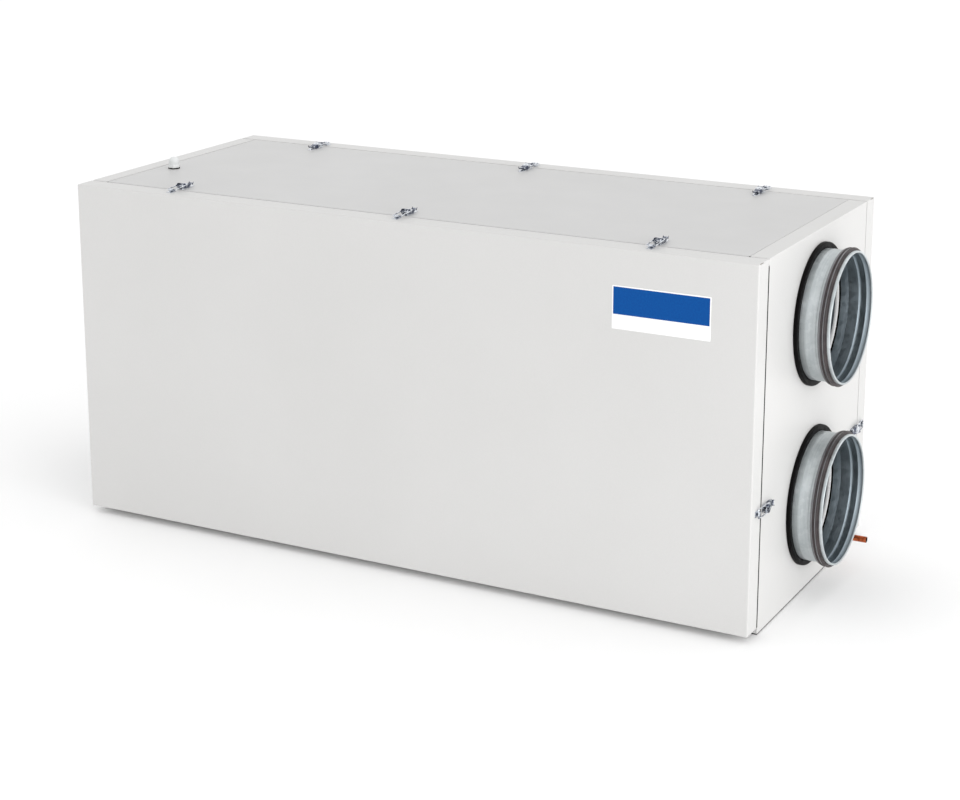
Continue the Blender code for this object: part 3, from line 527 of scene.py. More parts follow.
def flat_frame_mesh(width, height, bar, thickness, radius, edge, steps=3):
    """A flat rectangular frame, its bars this wide."""
    outline = rounded_rectangle(width, height, radius, steps)
    window = rounded_rectangle(width - 2 * bar, height - 2 * bar, radius, steps)
    return plate_mesh([outline, window], thickness, Matrix(), edge)


def wire_mesh(points, radius):
    """A round wire along a poly line, its ends capped."""
    curve = bpy.data.curves.new("wire", "CURVE")
    curve.dimensions = "3D"
    curve.bevel_depth = radius
    curve.bevel_resolution = 4
    curve.use_fill_caps = True
    return curve_mesh(curve, [points], False)


def merged(*meshes):
    """One bmesh that holds all of these, unjoined."""
    bm = bmesh.new()
    for part in meshes:
        mesh = bpy.data.meshes.new("part")
        part.to_mesh(mesh)
        part.free()
        bm.from_mesh(mesh)
        bpy.data.meshes.remove(mesh)
    return bm


def softened(obj, width, segments=2):
    """Rounds an object's sharp edges a little, so that they catch the light."""
    bevel = obj.modifiers.new("soft_edges", "BEVEL")
    bevel.width = width
    bevel.segments = segments
    bevel.limit_method = "ANGLE"
    bevel.angle_limit = math.radians(40)


def mesh_data(name, bm, material, smooth=35):
    mesh = bpy.data.meshes.new(name)
    bmesh.ops.recalc_face_normals(bm, faces=bm.faces)
    bm.to_mesh(mesh)
    bm.free()
    mesh.materials.append(material)
    mesh.shade_smooth()
    mesh.set_sharp_from_angle(angle=math.radians(smooth))
    return mesh


def piece(name, mesh, body, replaces=(), matrix=Matrix()):
    """A named piece from its mesh data, riding on a body and standing for CAD nodes."""
    obj = linked(name, mesh)
    obj.matrix_world = matrix
    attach(obj, body)
    if replaces:
        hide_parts(*replaces)
    return obj


def made(name, bm, material, replaces=(), matrix=Matrix(), smooth=35, body="casing"):
    """A piece straight from its bmesh, on the casing unless another body is named."""
    mesh = mesh_data(name, bm, material, smooth)
    return piece(name, mesh, body, replaces, matrix)


def marked_bore(mesh, material, end):
    """Gives the faces that look at the axis, as far as this height, another, darker material: painted
    shade in the bore.
    """
    mesh.materials.append(material)
    for face in mesh.polygons:
        radial = Vector((face.center.x, face.center.y, 0)).normalized()
        if face.normal.dot(radial) < -0.2 and face.center.z < end:
            face.material_index = 1


def flat_shaded_right(obj):
    """Keeps the large flat faces flat beside their rounded folds."""
    weighted = obj.modifiers.new("weighted", "WEIGHTED_NORMAL")
    weighted.keep_sharp = True
    weighted.weight = 100


# ---- painted skins
def pan_mesh(corner_a, corner_b, open_side, fold):
    """Folded sheet pan: a box without its open side, with round folds and a sheet's thickness."""
    bm = box_mesh(corner_a, corner_b)
    open_face = max(bm.faces, key=lambda face: face.normal.dot(Vector(open_side)))
    bmesh.ops.delete(bm, geom=[open_face], context="FACES_ONLY")
    folds = [edge for edge in bm.edges if not edge.is_boundary]
    bmesh.ops.bevel(bm, geom=folds, offset=fold, segments=4, profile=0.5, affect="EDGES")
    obj = helper_object(bm)
    solid = obj.modifiers.new("sheet", "SOLIDIFY")
    solid.thickness = SHEET
    solid.offset = -1.0
    solid.use_even_offset = True
    return realised(obj)


def end_frame(side, height):
    """Local Z points out of an end panel, local Y up."""
    return at(side * HALF_LENGTH, 0, height) @ facing(Vector((side, 0, 0)), UP)


def duct_height(end, level):
    return centre_of(f"{end}_{level}_spigot").z


DUCT_HOLE = 0.1256
DRAIN_HOLE = 0.0064


def end_cutters(end, side):
    """Cylinders for an end panel's two duct holes and, on the right, its drain hole."""
    near, far = side * (INNER_X - 0.01), side * (HALF_LENGTH + 0.01)
    heights = [duct_height(end, level) for level in LEVELS]
    tools = [rod_mesh((near, 0, z), (far, 0, z), DUCT_HOLE, 128) for z in heights]
    if side > 0:
        _, y, z = centre_of("drain_stub")
        tools.append(rod_mesh((near, y, z), (far, y, z), DRAIN_HOLE, 32))
    return tools


def corner_reliefs(size):
    """Small square cutters at the top panel's four corners."""
    cutters = []
    for x in (-PANEL_X, PANEL_X):
        for y in (-CASE_Y, CASE_Y):
            low = (x - size, y - size, CASE_TOP - 2 * size)
            cutters.append(box_mesh(low, (x + size, y + size, CASE_TOP + size)))
    return merged(*cutters)


def corner_slots(side):
    """Cutters for the slots that are left open at a folded door's two top corners."""
    slots, depth = [], 0.0018
    for end in (-1, 1):
        near = (end * (HALF_LENGTH - depth), side * (HALF_DEPTH - 0.022), CASE_TOP - depth)
        far = (end * (HALF_LENGTH + 0.001), side * (HALF_DEPTH - 0.004), CASE_TOP + 0.001)
        slots.append(box_mesh(near, far))
    return slots


def skin_piece(panel, shell, material=coat, body="casing"):
    nodes = [f"{panel}_outer_skin"]
    skin = made(f"{panel}_skin", shell, material, nodes, body=body)
    flat_shaded_right(skin)


def make_skins():
    for end, side in ENDS:
        near, far = (side * INNER_X, -CASE_Y, 0.0), (side * HALF_LENGTH, CASE_Y, CASE_TOP)
        shell = cut(pan_mesh(near, far, (-side, 0, 0), PANEL_FOLD), *end_cutters(end, side))
        skin_piece(f"{end}_end", shell)
    near, far = (-PANEL_X, -CASE_Y, top_slab_low.z), (PANEL_X, CASE_Y, CASE_TOP)
    # The top panel gets the darker copy of the coat: painted shade.
    skin_piece("top", cut(pan_mesh(near, far, -UP, PANEL_FOLD), corner_reliefs(0.0022)), shaded_top_coat)
    near, far = (-PANEL_X, -CASE_Y, 0.0), (PANEL_X, CASE_Y, base_top)
    skin_piece("base", pan_mesh(near, far, UP, PANEL_FOLD))
    for door, side in DOORS:
        near = (-HALF_LENGTH, side * DOOR_Y, DOOR_FOOT)
        far = (HALF_LENGTH, side * HALF_DEPTH, CASE_TOP)
        shell = cut(pan_mesh(near, far, (0, -side, 0), DOOR_FOLD), *corner_slots(side))
        skin_piece(f"{door}_door", shell, coat, f"{door}_door")


# ---- wool slabs and their inner facings
FACING = 0.0008
FACING_LIP = 0.012  # how far a facing's edges turn back over its slab
FACING_FOLD = 0.0012


def liner_pieces(name, inward, body="casing", holes=()):
    """A wool slab behind a folded facing sheet whose edges turn back over the slab."""
    node = f"{name}_insulation"
    low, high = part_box(node)
    wool_low, wool_high, lip_low, lip_high = low.copy(), high.copy(), low.copy(), high.copy()
    under = FACING + 0.0002
    for axis in range(3):
        if inward[axis] <= 0:
            wool_low[axis] += under
        if inward[axis] >= 0:
            wool_high[axis] -= under
        if inward[axis] > 0:
            lip_low[axis] = high[axis] - FACING_LIP
        elif inward[axis] < 0:
            lip_high[axis] = low[axis] + FACING_LIP
    sheet = pan_mesh(lip_low, lip_high, [-part for part in inward], FACING_FOLD)
    slab = box_mesh(wool_low, wool_high)
    if holes:
        sheet = cut(sheet, *[hole.copy() for hole in holes])
        slab = cut(slab, *holes)
    front = made(f"{name}_facing", sheet, sheet_zinc, [node], body=body)
    flat_shaded_right(front)
    made(f"{name}_wool", slab, wool, [node], body=body)


def rim_places(half_u, half_v, count_u, count_v):
    """Evenly spaced places round a rectangle, first along its long sides."""
    places = []
    for i in range(count_u):
        u = -half_u + 2 * half_u * i / (count_u - 1)
        places += [(u, -half_v), (u, half_v)]
    for i in range(1, count_v - 1):
        v = -half_v + 2 * half_v * i / (count_v - 1)
        places += [(-half_u, v), (half_u, v)]
    return places


def door_rivets(door, side):
    """A rim of blind rivets on a door's inner facing."""
    inset = 0.030
    half_height = (CASE_TOP - DOOR_FOOT) / 2
    places = rim_places(HALF_LENGTH - inset, half_height - inset, 8, 4)
    heads = merged(*[rivet_mesh(0.0032, 0.0012, at(u, v, 0.0)) for u, v in places])
    place = at(0.0, side * DOOR_Y, DOOR_FOOT + half_height) @ facing(Vector((0, -side, 0)), UP)
    made(f"{door}_rivets", heads, zinc_plate, (), place, 40, door)


GASKET_BAR = 0.013
GASKET_DROP = 0.0062  # of its middle, to make room for the top lip
LIP_HEIGHT = 0.0110  # of the painted lips, below the casing's top


def make_door_gaskets():
    """Foam frame in each door's seam, and the casing's painted lips outside it."""
    recesses, gaps = (-0.0004, 0.0060), (0.0016, 0.0006)
    for (door, side), recess, gap in zip(DOORS, recesses, gaps):
        node = f"{door}_door_gasket"
        low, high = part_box(node)
        _, middle_y, middle_z = centre_of(node)
        width, height = high.x - low.x - 2 * recess, high.z - low.z - LIP_HEIGHT - 0.0015
        foam = flat_frame_mesh(width, height, GASKET_BAR, high.y - low.y, 0.0020, 0.0004)
        place = at(0, middle_y, middle_z - GASKET_DROP) @ FACING_FRONT
        made(f"{node}_foam", foam, rubber, [node], place)
        near, far = side * (CASE_Y + 0.0002), side * (DOOR_Y - gap)
        lip_foot, lip_head = CASE_TOP - LIP_HEIGHT, CASE_TOP - gap
        lips = [box_mesh((low.x, near, lip_foot), (high.x, far, lip_head))]
        if side > 0:
            for end in (-1, 1):
                foot = (end * (high.x - 0.0045), near, DOOR_FOOT + 0.0020)
                lips.append(box_mesh(foot, (end * high.x, far, lip_foot - 0.0002)))
        softened(made(f"{door}_seam_lip", merged(*lips), coat, [node]), 0.0006)


def make_shade_strips():
    """Black rubber strips deep in the seams beside the top panel and under the casing's rim: painted
    shade in those seams, and a painted shadow line along the floor.
    """
    strips, play = [], 0.0012
    for side in (-1, 1):
        low = (side * (PANEL_X - 0.0002), -CASE_Y + play, CASE_TOP - 0.0200)
        high = (side * (INNER_X + 0.0002), CASE_Y - play, CASE_TOP - 0.0013)
        strips.append(box_mesh(low, high))
    made("seam_shade_strips", merged(*strips), rubber, ["top_outer_skin"])
    # Black strip under the rim: painted shadow where the casing meets the floor.
    inset = 0.0008
    length, depth = 2 * (HALF_LENGTH - inset), 2 * (CASE_Y - inset)
    strip = flat_frame_mesh(length, depth, 0.0142, FOOT_SHADOW_STRIP, 0.0010, 0.0002, 2)
    place = at(0, 0, -FOOT_SHADOW_STRIP / 2)
    made("foot_shadow_strip", strip, rubber, ["base_outer_skin"], place)


def make_liners():
    for end, side in ENDS:
        liner_pieces(f"{end}_end", (-side, 0, 0), holes=end_cutters(end, side))
    liner_pieces("top", -UP)
    for door, side in DOORS:
        liner_pieces(f"{door}_door", (0, -side, 0), f"{door}_door")
        door_rivets(f"{door}_door", side)


# ---- spigots and seals
TUBE_WALL = 0.0012
RIM_ROLL = 0.0014
RIM_DEPTH = 0.0036  # the bore has the darker zinc beyond this, as painted shade
NECK = 0.1232 - TUBE_WALL / 2  # middle of the sheet, between the panel and the step
SLEEVE = 0.1247 - TUBE_WALL / 2  # and where the duct slides on
TUBE_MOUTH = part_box("right_upper_spigot")[1].x - HALF_LENGTH
TUBE_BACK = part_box("right_upper_spigot")[0].x - HALF_LENGTH
SEAL_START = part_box("right_upper_lip_seal")[0].x - HALF_LENGTH


def tube_centreline():
    """(radius, height) along the sheet of a spigot: neck, step, bead and rolled-in rim."""
    line = [(0.0, 0.0030), (0.0, 0.0170), (0.0004, 0.0185), (0.0004, 0.0200), (0.0, 0.0215)]
    line = shifted(line + [(0.0, 0.0385)], NECK, 0.0)
    line += arc((NECK, 0.0400), 0.0015, -90, -20, 3)[1:]
    line += [(SLEEVE + 0.0006, 0.0420), (SLEEVE + 0.0006, 0.0430), (SLEEVE, 0.0442)]
    bead = [(0.0, -0.0142), (-0.0009, -0.0133), (-0.0009, -0.0120), (0.0, -0.0111)]
    line += shifted(bead, SLEEVE, TUBE_MOUTH)
    line += arc((SLEEVE - RIM_ROLL, TUBE_MOUTH - 0.0006 - RIM_ROLL), RIM_ROLL, 0, 210, 9)
    return line


def liner_centreline():
    """The part of the spigot inside the panel, with its flange behind the facing."""
    line = [(0.1300, TUBE_BACK + 0.0006), (NECK + 0.0012, TUBE_BACK + 0.0006)]
    line += arc((NECK + 0.0012, TUBE_BACK + 0.0018), 0.0012, 270, 180, 4)[1:]
    line.append((NECK, -0.0072))
    return line


def thickened(line, thickness):
    """Closed profile of a sheet with this centreline."""
    left, right = [], []
    for i, (r, z) in enumerate(line):
        before, after = line[max(i - 1, 0)], line[min(i + 1, len(line) - 1)]
        along = Vector((after[0] - before[0], after[1] - before[1])).normalized()
        across = Vector((-along.y, along.x)) * thickness / 2
        left.append((r + across.x, z + across.y))
        right.append((r - across.x, z - across.y))
    return left + right[::-1]


SEAL_BORE = 0.1255


def lip_seal_profile():
    """Band with two lips that lean back towards the panel."""
    base, start, end = SEAL_BORE + 0.0016, SEAL_START, SEAL_START + 0.0155
    profile = [(SEAL_BORE - 0.0006, start), (base - 0.0004, start), (base, start + 0.0004)]
    for root, tip_radius in ((start + 0.0034, 0.1294), (start + 0.0104, 0.1300)):
        profile += [(base, root), (base + 0.0006, root + 0.0004)]
        profile += arc((tip_radius - 0.0004, root + 0.0004), 0.0004, -60, 90, 4)
        profile += [(base + 0.0016, root + 0.0018), (base, root + 0.0030)]
    profile += [(base, end - 0.0005), (base - 0.0004, end), (SEAL_BORE - 0.0006, end)]
    return profile


def gasket_profile():
    """Foam ring under the spigot, its outer corner rounded."""
    low, high, outer, bore, round_edge, edge = 0.0003, 0.0080, 0.1350, 0.1236, 0.0022, 0.0006
    profile = [(bore, low), (outer - edge, low), (outer, low + edge)]
    profile += arc((outer - round_edge, high - round_edge), round_edge, 0, 90, 6)
    profile += [(bore + edge, high), (bore, high - edge)]
    return profile


def ring_profile(bore, outer, low, high):
    """A plain ring with small cut corners."""
    edge = 0.0004
    profile = [(bore + edge, low), (outer - edge, low), (outer, low + edge), (outer, high - edge)]
    profile += [(outer - edge, high), (bore + edge, high), (bore, high - edge), (bore, low + edge)]
    return profile


def rivet_mesh(radius, height, matrix):
    """Domed blind rivet with the small pit that its mandrel leaves."""
    profile = [(0.0, 0.0), (radius, 0.0), (radius, height * 0.25)]
    for share in (0.9, 0.75, 0.55, 0.42):
        profile.append((radius * share, height * math.sqrt(1 - 0.8 * share * share)))
    profile += [(radius * 0.34, height * 0.70), (0.0, height * 0.62)]
    return turned_mesh(profile, 20, matrix)


def make_spigots():
    inside = NECK - TUBE_WALL / 2
    hold = (SEAL_BORE - 0.0004, SEAL_BORE + 0.0022, SEAL_START - 0.0012, SEAL_START + 0.0030)
    strap = (SEAL_BORE, SEAL_BORE + 0.0027, SEAL_START + 0.0070, SEAL_START + 0.0098)
    band = (inside - 0.0008, inside + 0.0024, 0.0004, 0.0034)
    collar = (inside - 0.0010, inside + 0.0020, -0.0072, 0.0000)
    parts = (
        ("tube", [thickened(tube_centreline(), TUBE_WALL)], spigot_zinc, "galvanised_sheet"),
        ("liner", [thickened(liner_centreline(), TUBE_WALL)], shaded_bore_zinc, "galvanised_sheet"),
        ("retainer", [ring_profile(*hold), ring_profile(*strap)], dull_zinc, "galvanised_sheet"),
        ("bore_seal", [ring_profile(*band)], rubber, "black_rubber"),
        # The coat-painted collar gets the brighter label white: painted light on it.
        ("collar", [ring_profile(*collar)], label_white, "powder_coat"),
        ("lip_seal_fine", [lip_seal_profile()], lip_rubber, "black_rubber"),
        ("flange_gasket_fine", [gasket_profile()], rubber, "black_rubber"),
    )
    pieces = []
    for suffix, profiles, material, slot in parts:
        turned = merged(*[turned_mesh(profile, ROUND) for profile in profiles])
        mesh = mesh_data(f"duct_{suffix}", turned, material, 50)
        if suffix == "tube":
            marked_bore(mesh, shaded_bore_zinc, TUBE_MOUTH - RIM_DEPTH)
        node = suffix.removesuffix("_fine") if suffix.endswith("_fine") else "spigot"
        pieces.append((suffix, node, mesh, slot))
    for end, side in ENDS:
        for level in LEVELS:
            name = f"{end}_{level}"
            place = end_frame(side, duct_height(end, level))
            for suffix, node, mesh, slot in pieces:
                piece(f"{name}_{suffix}", mesh, "casing", [f"{name}_{node}"], place)


def make_drain():
    """Copper stub with a cleanly cut, slightly rounded end."""
    (start, _, _), (tip, _, _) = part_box("drain_stub")
    outer, bore, edge = 0.0060, 0.0050, 0.0003
    profile = [(bore, start), (outer, start), (outer, tip - edge)]
    profile += [(outer - edge * 0.3, tip - edge * 0.3), (outer - edge, tip)]
    profile += [(bore + edge, tip), (bore, tip - edge)]
    mesh = mesh_data("drain_tube", turned_mesh(profile, 64), copper_tube, 50)
    # The bore gets black rubber: painted shade inside the open end.
    marked_bore(mesh, rubber, tip)
    _, y, z = centre_of("drain_stub")
    place = at(0, y, z) @ Matrix.Rotation(math.pi / 2, 4, "Y")
    piece("drain_tube", mesh, "casing", ["drain_stub"], place)


# ---- latches
# Each latch is drawn about its lever's pivot: X along the hinge, Y towards the tail, Z out.  It
# is drawn large and made smaller by LATCH_SIZE.
LATCH_SIZE = 0.8
PIVOT_HEIGHT = 0.0085  # over the panel
LOOP_ARM = 0.012  # from the lever's pivot to the loop's
LOOP_ANGLE = math.radians(8)
LOOP_PIVOT = LOOP_ARM * Vector((0, math.cos(LOOP_ANGLE), math.sin(LOOP_ANGLE)))
LOOP_HALF = 0.0108
HOOK_POINT = Vector((0, -0.0426, -0.0030))
LEVER_HALF = 0.0090
LEVER_INNER = 0.0077
LEVER_TAIL = 0.044
WIRE = 0.0014
PLATE = 0.0014
YZ_PLANE = Matrix(((0, 0, 1, 0), (1, 0, 0, 0), (0, 1, 0, 0), (0, 0, 0, 1)))


def latch_places():
    """Each latch's name, its place and the door that it holds."""
    found = []
    for joint in frame["joints"]:
        if not joint["name"].endswith("_lever_hinge"):
            continue
        name = joint["name"].removesuffix("_lever_hinge")
        axis, pivot = Vector(joint["axis"]), Vector(joint["pos_m"])
        out = Vector((math.copysign(1, pivot.x), 0, 0)) if "_end_" in name else UP
        place = at(*pivot) @ facing(out, out.cross(axis))
        found.append((name, place, name.split("_")[0] + "_door"))
    return found


def lever_channel_mesh():
    """The lever's folded channel: two round ears, and a web down to a curled finger tab."""
    nose = arc((0, 0), 0.0062, 262, 98, 14)
    web_top = [(0.006, 0.0058), (0.020, 0.0027), (0.034, -0.0006), (0.039, -0.0013)]
    curl = arc((0.0415, 0.0012), 0.0027, -100, -10, 5)
    under = [(0.0436, 0.0004), (0.0428, -0.0008), (0.040, -0.0029), (0.034, -0.0028)]
    under += [(0.027, -0.0060), (0.004, -0.0062)]
    solid = plate_mesh([nose + web_top + curl + under], 2 * LEVER_HALF, YZ_PLANE)
    folds = []
    for edge in solid.edges:
        first, last = [vert.co for vert in edge.verts]
        on_web = all(place.z > -0.0018 and place.y > 0.001 for place in (first, last))
        on_side = all(abs(abs(place.x) - LEVER_HALF) < 0.0001 for place in (first, last))
        if on_web and on_side and abs(first.x - last.x) < 0.001:
            folds.append(edge)
    bmesh.ops.bevel(solid, geom=folds, offset=0.0011, segments=3, profile=0.5, affect="EDGES")
    hollow = [(-0.010, -0.012), (-0.010, 0.012), (0.0015, 0.012), (0.0015, 0.0046)]
    hollow += [(0.0200, 0.0013), (0.0340, -0.0020), (0.0340, -0.0120)]
    reach = Vector((0.02, 0, 0))
    holes = rod_mesh(LOOP_PIVOT - reach, LOOP_PIVOT + reach, WIRE + 0.0004, 20)
    return cut(solid, plate_mesh([hollow], 2 * LEVER_INNER, YZ_PLANE), holes)


def lever_mesh():
    """The channel with its pin, the pin's heads and a stiffening rib, narrower at the tail."""
    pin_end, head_end, head_start = LEVER_HALF + 0.0002, LEVER_HALF + 0.0007, LEVER_HALF - 0.0002
    lever = joined(
        lever_channel_mesh(),
        rod_mesh((-pin_end, 0, 0), (pin_end, 0, 0), 0.0018, 20),
        rod_mesh((head_start, 0, 0), (head_end, 0, 0), 0.0028, 20),
        rod_mesh((-head_end, 0, 0), (-head_start, 0, 0), 0.0028, 20),
        rod_mesh((0, 0.010, 0.0040), (0, 0.030, -0.0004), 0.0016, 16),
    )
    taper_start, taper = 0.016, 0.30
    for vert in lever.verts:
        share = max(0.0, (vert.co.y - taper_start) / (LEVER_TAIL - taper_start))
        vert.co.x *= 1 - taper * share
    return lever


def loop_mesh():
    """Wire bail: turned-in ends, two prongs and the crossbar that pulls on the keeper."""
    reach = HOOK_POINT - LOOP_PIVOT
    along, length = reach.normalized(), reach.length
    tight, wide = 0.0015, 0.004
    flat = [(LEVER_INNER - 0.0008, 0.0)]
    flat += arc((LOOP_HALF - tight, tight), tight, -90, 0, 5)
    flat += arc((LOOP_HALF - wide, length - wide), wide, 0, 90, 8)
    flat += [(-x, y) for x, y in reversed(flat)]
    points = [LOOP_PIVOT + along * distance + Vector((across, 0, 0)) for across, distance in flat]
    return wire_mesh(points, WIRE)


def latch_base_mesh():
    """Base plate with two ears and a round tab beyond the lever's tail."""
    half, back, front, tab_y, tab_radius = 0.0085, -0.0070, 0.0365, 0.049, 0.005
    outline = [(half, back), (half, front)] + arc((half - 0.0020, front), 0.0020, 0, 70, 3)
    outline += [(tab_radius, tab_y - 0.004)] + arc((0, tab_y), tab_radius, 0, 180, 16)
    outline += [(-x, y) for x, y in reversed(outline[:6])]
    outline += arc((0.0010 - half, back), 0.0010, 180, 270, 3)
    outline += arc((half - 0.0010, back), 0.0010, 270, 360, 3)
    hole = circle((0, tab_y), 0.0021, 20)
    plate = plate_mesh([outline, hole], PLATE, at(0, 0, PLATE / 2 - PIVOT_HEIGHT), 0.0002)
    ear_radius, foot = 0.0042, PLATE * 0.6 - PIVOT_HEIGHT
    ear = [(ear_radius, foot)] + arc((0, 0), ear_radius, 0, 180, 16) + [(-ear_radius, foot)]
    pin_hole = circle((0, 0), 0.0022, 20)
    parts = [plate]
    for x in (-0.0066, 0.0066):
        parts.append(plate_mesh([ear, pin_hole], 0.0012, at(x, 0, 0) @ YZ_PLANE, 0.0002))
    for y in (-0.0035, 0.0090):
        parts.append(rivet_mesh(0.0021, 0.0009, at(0.0, y, PLATE * 0.9 - PIVOT_HEIGHT)))
    return merged(*parts)


def keeper_mesh():
    """Plate with its hook tab, pressed from one sheet, and one rivet."""
    top = PLATE - PIVOT_HEIGHT
    tip_y, foot_y = -0.0409, -0.0404
    profile = [(-0.0300, -PIVOT_HEIGHT), (-0.0520, -PIVOT_HEIGHT), (-0.0520, top)]
    profile += [(foot_y - 0.0006, top), (foot_y, top + 0.0006), (tip_y, -0.0006)]
    profile += arc((tip_y + 0.0007, -0.0004), 0.0007, 180, 20, 5)
    profile += [(foot_y + 0.0015, top + 0.0010), (foot_y + 0.0024, top), (-0.0300, top)]
    keeper = plate_mesh([profile], 0.014, YZ_PLANE)
    return merged(keeper, rivet_mesh(0.0020, 0.0009, at(0, -0.0345, top - 0.0001)))


def latch_mesh(name, bm, material, smooth=35):
    bm.transform(Matrix.Scale(LATCH_SIZE, 4))
    return mesh_data(name, bm, material, smooth)


def make_latches():
    lever = latch_mesh("latch_lever", lever_mesh(), lever_zinc)
    loop = latch_mesh("latch_loop", loop_mesh(), zinc_plate, 60)
    base = latch_mesh("latch_base", latch_base_mesh(), zinc_plate)
    keeper = latch_mesh("latch_keeper", keeper_mesh(), zinc_plate)
    for name, place, door in latch_places():
        for suffix, mesh, body, stands_for in (
            ("lever_fine", lever, f"{name}_lever", [f"{name}_lever"]),
            ("loop_fine", loop, f"{name}_loop", [f"{name}_loop"]),
            ("base", base, "casing", ()),
            ("keeper", keeper, door, ()),
        ):
            part = piece(f"{name}_{suffix}", mesh, body, stands_for, place)
            if mesh in (lever, keeper):
                softened(part, 0.00018)


# ---- gland and label
def make_gland():
    """Domed compression cap over a hexagon, on a black sealing ring."""
    node = "cable_gland"
    x, y, _ = centre_of(node)
    base = at(x, y, CASE_TOP)
    outer, bore = 0.0122, 0.0080
    ring = [(bore, 0.0003), (outer, 0.0003)] + arc((outer - 0.0010, 0.0012), 0.0010, 0, 90, 4)
    ring = turned_mesh(ring + [(bore, 0.0022)], 64)
    made("gland_ring", ring, rubber, [node], base)
    nut = plate_mesh([circle((0, 0), outer, 6)], 0.0072, at(0, 0, 0.0059), 0.0004)
    made("gland_nut", nut, gland_grey, [node], base, 25)
    cap = [(0.0, 0.0090), (0.0104, 0.0090), (0.0106, 0.0096), (0.0106, 0.0142)]
    cap += arc((0.0020, 0.0155), 0.0086, 0, 88, 10) + [(0.0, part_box(node)[1].z - CASE_TOP - 0.0005)]
    grooves = []
    for x, y in circle((0, 0), 0.0114, 16):
        grooves.append(rod_mesh((x, y, 0.0080), (x, y, 0.0150), 0.0012, 12))
    dome = cut(turned_mesh(cap, 64), merged(*grooves))
    made("gland_cap", dome, gland_grey, [node], base, 30)


def make_label():
    """Plain two-colour plate near the right end of the front door, with nothing printed on it."""
    width, height, thick, film = 0.189, 0.080, 0.00030, 0.00006
    margin, field_height = 0.0022, 0.0505
    middle_x, middle_z = HALF_LENGTH - 0.086 - width / 2, CASE_TOP - 0.068 - height / 2
    field_z = middle_z + height / 2 - margin - field_height / 2
    plate = plate_mesh([rounded_rectangle(width, height, 0.0010)], thick, Matrix(), 0.00008)
    field = plate_mesh([rounded_rectangle(width - 2 * margin, field_height, 0.0004)], film)
    for name, shape, material, depth, z in (
        ("label_plate", plate, label_white, thick / 2, middle_z),
        ("label_field", field, label_blue, thick + film / 2, field_z),
    ):
        place = at(middle_x, -HALF_DEPTH - depth, z) @ FACING_FRONT
        made(name, shape, material, matrix=place, body="front_door")


# ---- filters
def pleat_outline(near, far, low, high, count, thickness):
    """Zigzag strip in (x, z) with rounded folds, as one closed outline."""
    step = (high - low) / (2 * count)
    front, back = [], []
    for i in range(2 * count + 1):
        z = low + i * step
        tip, lean = (near, 1) if i % 2 else (far - thickness, -1)
        for shift, ease in ((-0.0016, 0.0014), (0.0, 0.0), (0.0016, 0.0014)):
            if low <= z + shift <= high:
                front.append((tip + lean * ease, z + shift))
                back.append((tip + lean * ease + thickness, z + shift))
    return front + back[::-1]


def filter_pieces(node):
    """Card frame, pleated fleece, the strands that hold its pleats, and a pull tab."""
    low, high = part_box(node)
    centre = centre_of(node)
    depth, width, height = high - low
    rim, strand_count = 0.0120, 7
    outline = rounded_rectangle(width, height, 0.0015, 2)
    window = rounded_rectangle(width - 2 * rim, height - 2 * rim, 0.0010, 2)
    card_rim = plate_mesh([outline, window], depth - 0.0002, Matrix(), 0.0006)
    pleat_low, pleat_high = low.z + rim - 0.001, high.z - rim + 0.001
    reach = depth / 2 - 0.004
    pleats = pleat_outline(-reach, reach, pleat_low, pleat_high, 30, 0.0012)
    paper = plate_mesh([pleats], width - 2 * rim + 0.0010)
    strands = []
    for i in range(strand_count):
        y = -width / 2 + rim + (width - 2 * rim) * (i + 0.5) / strand_count
        for x in (low.x + 0.0032, high.x - 0.0032):
            strands.append(rod_mesh((x, y, pleat_low), (x, y, pleat_high), 0.0011, 10))
    tab = plate_mesh([rounded_rectangle(0.034, 0.020, 0.006)], 0.0008, Matrix(), 0.0002)
    across = Matrix.Rotation(math.pi / 2, 4, "Y") @ Matrix.Rotation(math.pi / 2, 4, "Z")
    before = at(centre.x, low.y - 0.0006, centre.z)
    for part, shape, material, place, smooth in (
        ("frame", card_rim, card, at(*centre) @ across, 35),
        ("pleats", paper, fleece, at(centre.x, 0, 0) @ FACING_FRONT, 60),
        ("strands", merged(*strands), card, Matrix(), 50),
        ("tab", tab, fan_black, before @ FACING_FRONT, 35),
    ):
        made(f"{node}_{part}", shape, material, [node], place, smooth)


def make_filters():
    filter_pieces("extract_filter")
    filter_pieces("outdoor_filter")


# ---- fans
# Local Z runs along a fan's axis, from its inlet plate towards the spigot.
FAN_SIDES = 96
FAN_EYE = 0.080
FAN_RADIUS = 0.125
WHEEL_START = 0.009
WHEEL_TOP = WHEEL_START + 0.080
MOTOR_START = WHEEL_TOP + 0.004
MOTOR_END = MOTOR_START + 0.058
ROD_REACH = 0.118


def bell_profile():
    """Spun inlet ring: a wide rolled mouth that narrows into the wheel's eye."""
    line = [(0.0100, -0.0060), (0.0045, -0.0060), (0.0005, -0.0046), (-0.0035, -0.0010)]
    line += [(-0.0062, 0.0045), (-0.0078, 0.0125)]
    return thickened(shifted(line, FAN_EYE, 0.0), 0.0012)


def shroud_profile():
    """The wheel's front ring, from its eye out to its rim."""
    line = [(-0.0005, 0.0), (0.0010, 0.0048), (0.0070, 0.0092), (0.0180, 0.0120)]
    line = shifted(line, FAN_EYE, WHEEL_START)
    line += shifted([(-0.010, 0.0148), (-0.0003, 0.0156)], FAN_RADIUS, WHEEL_START)
    return thickened(line, 0.0016)


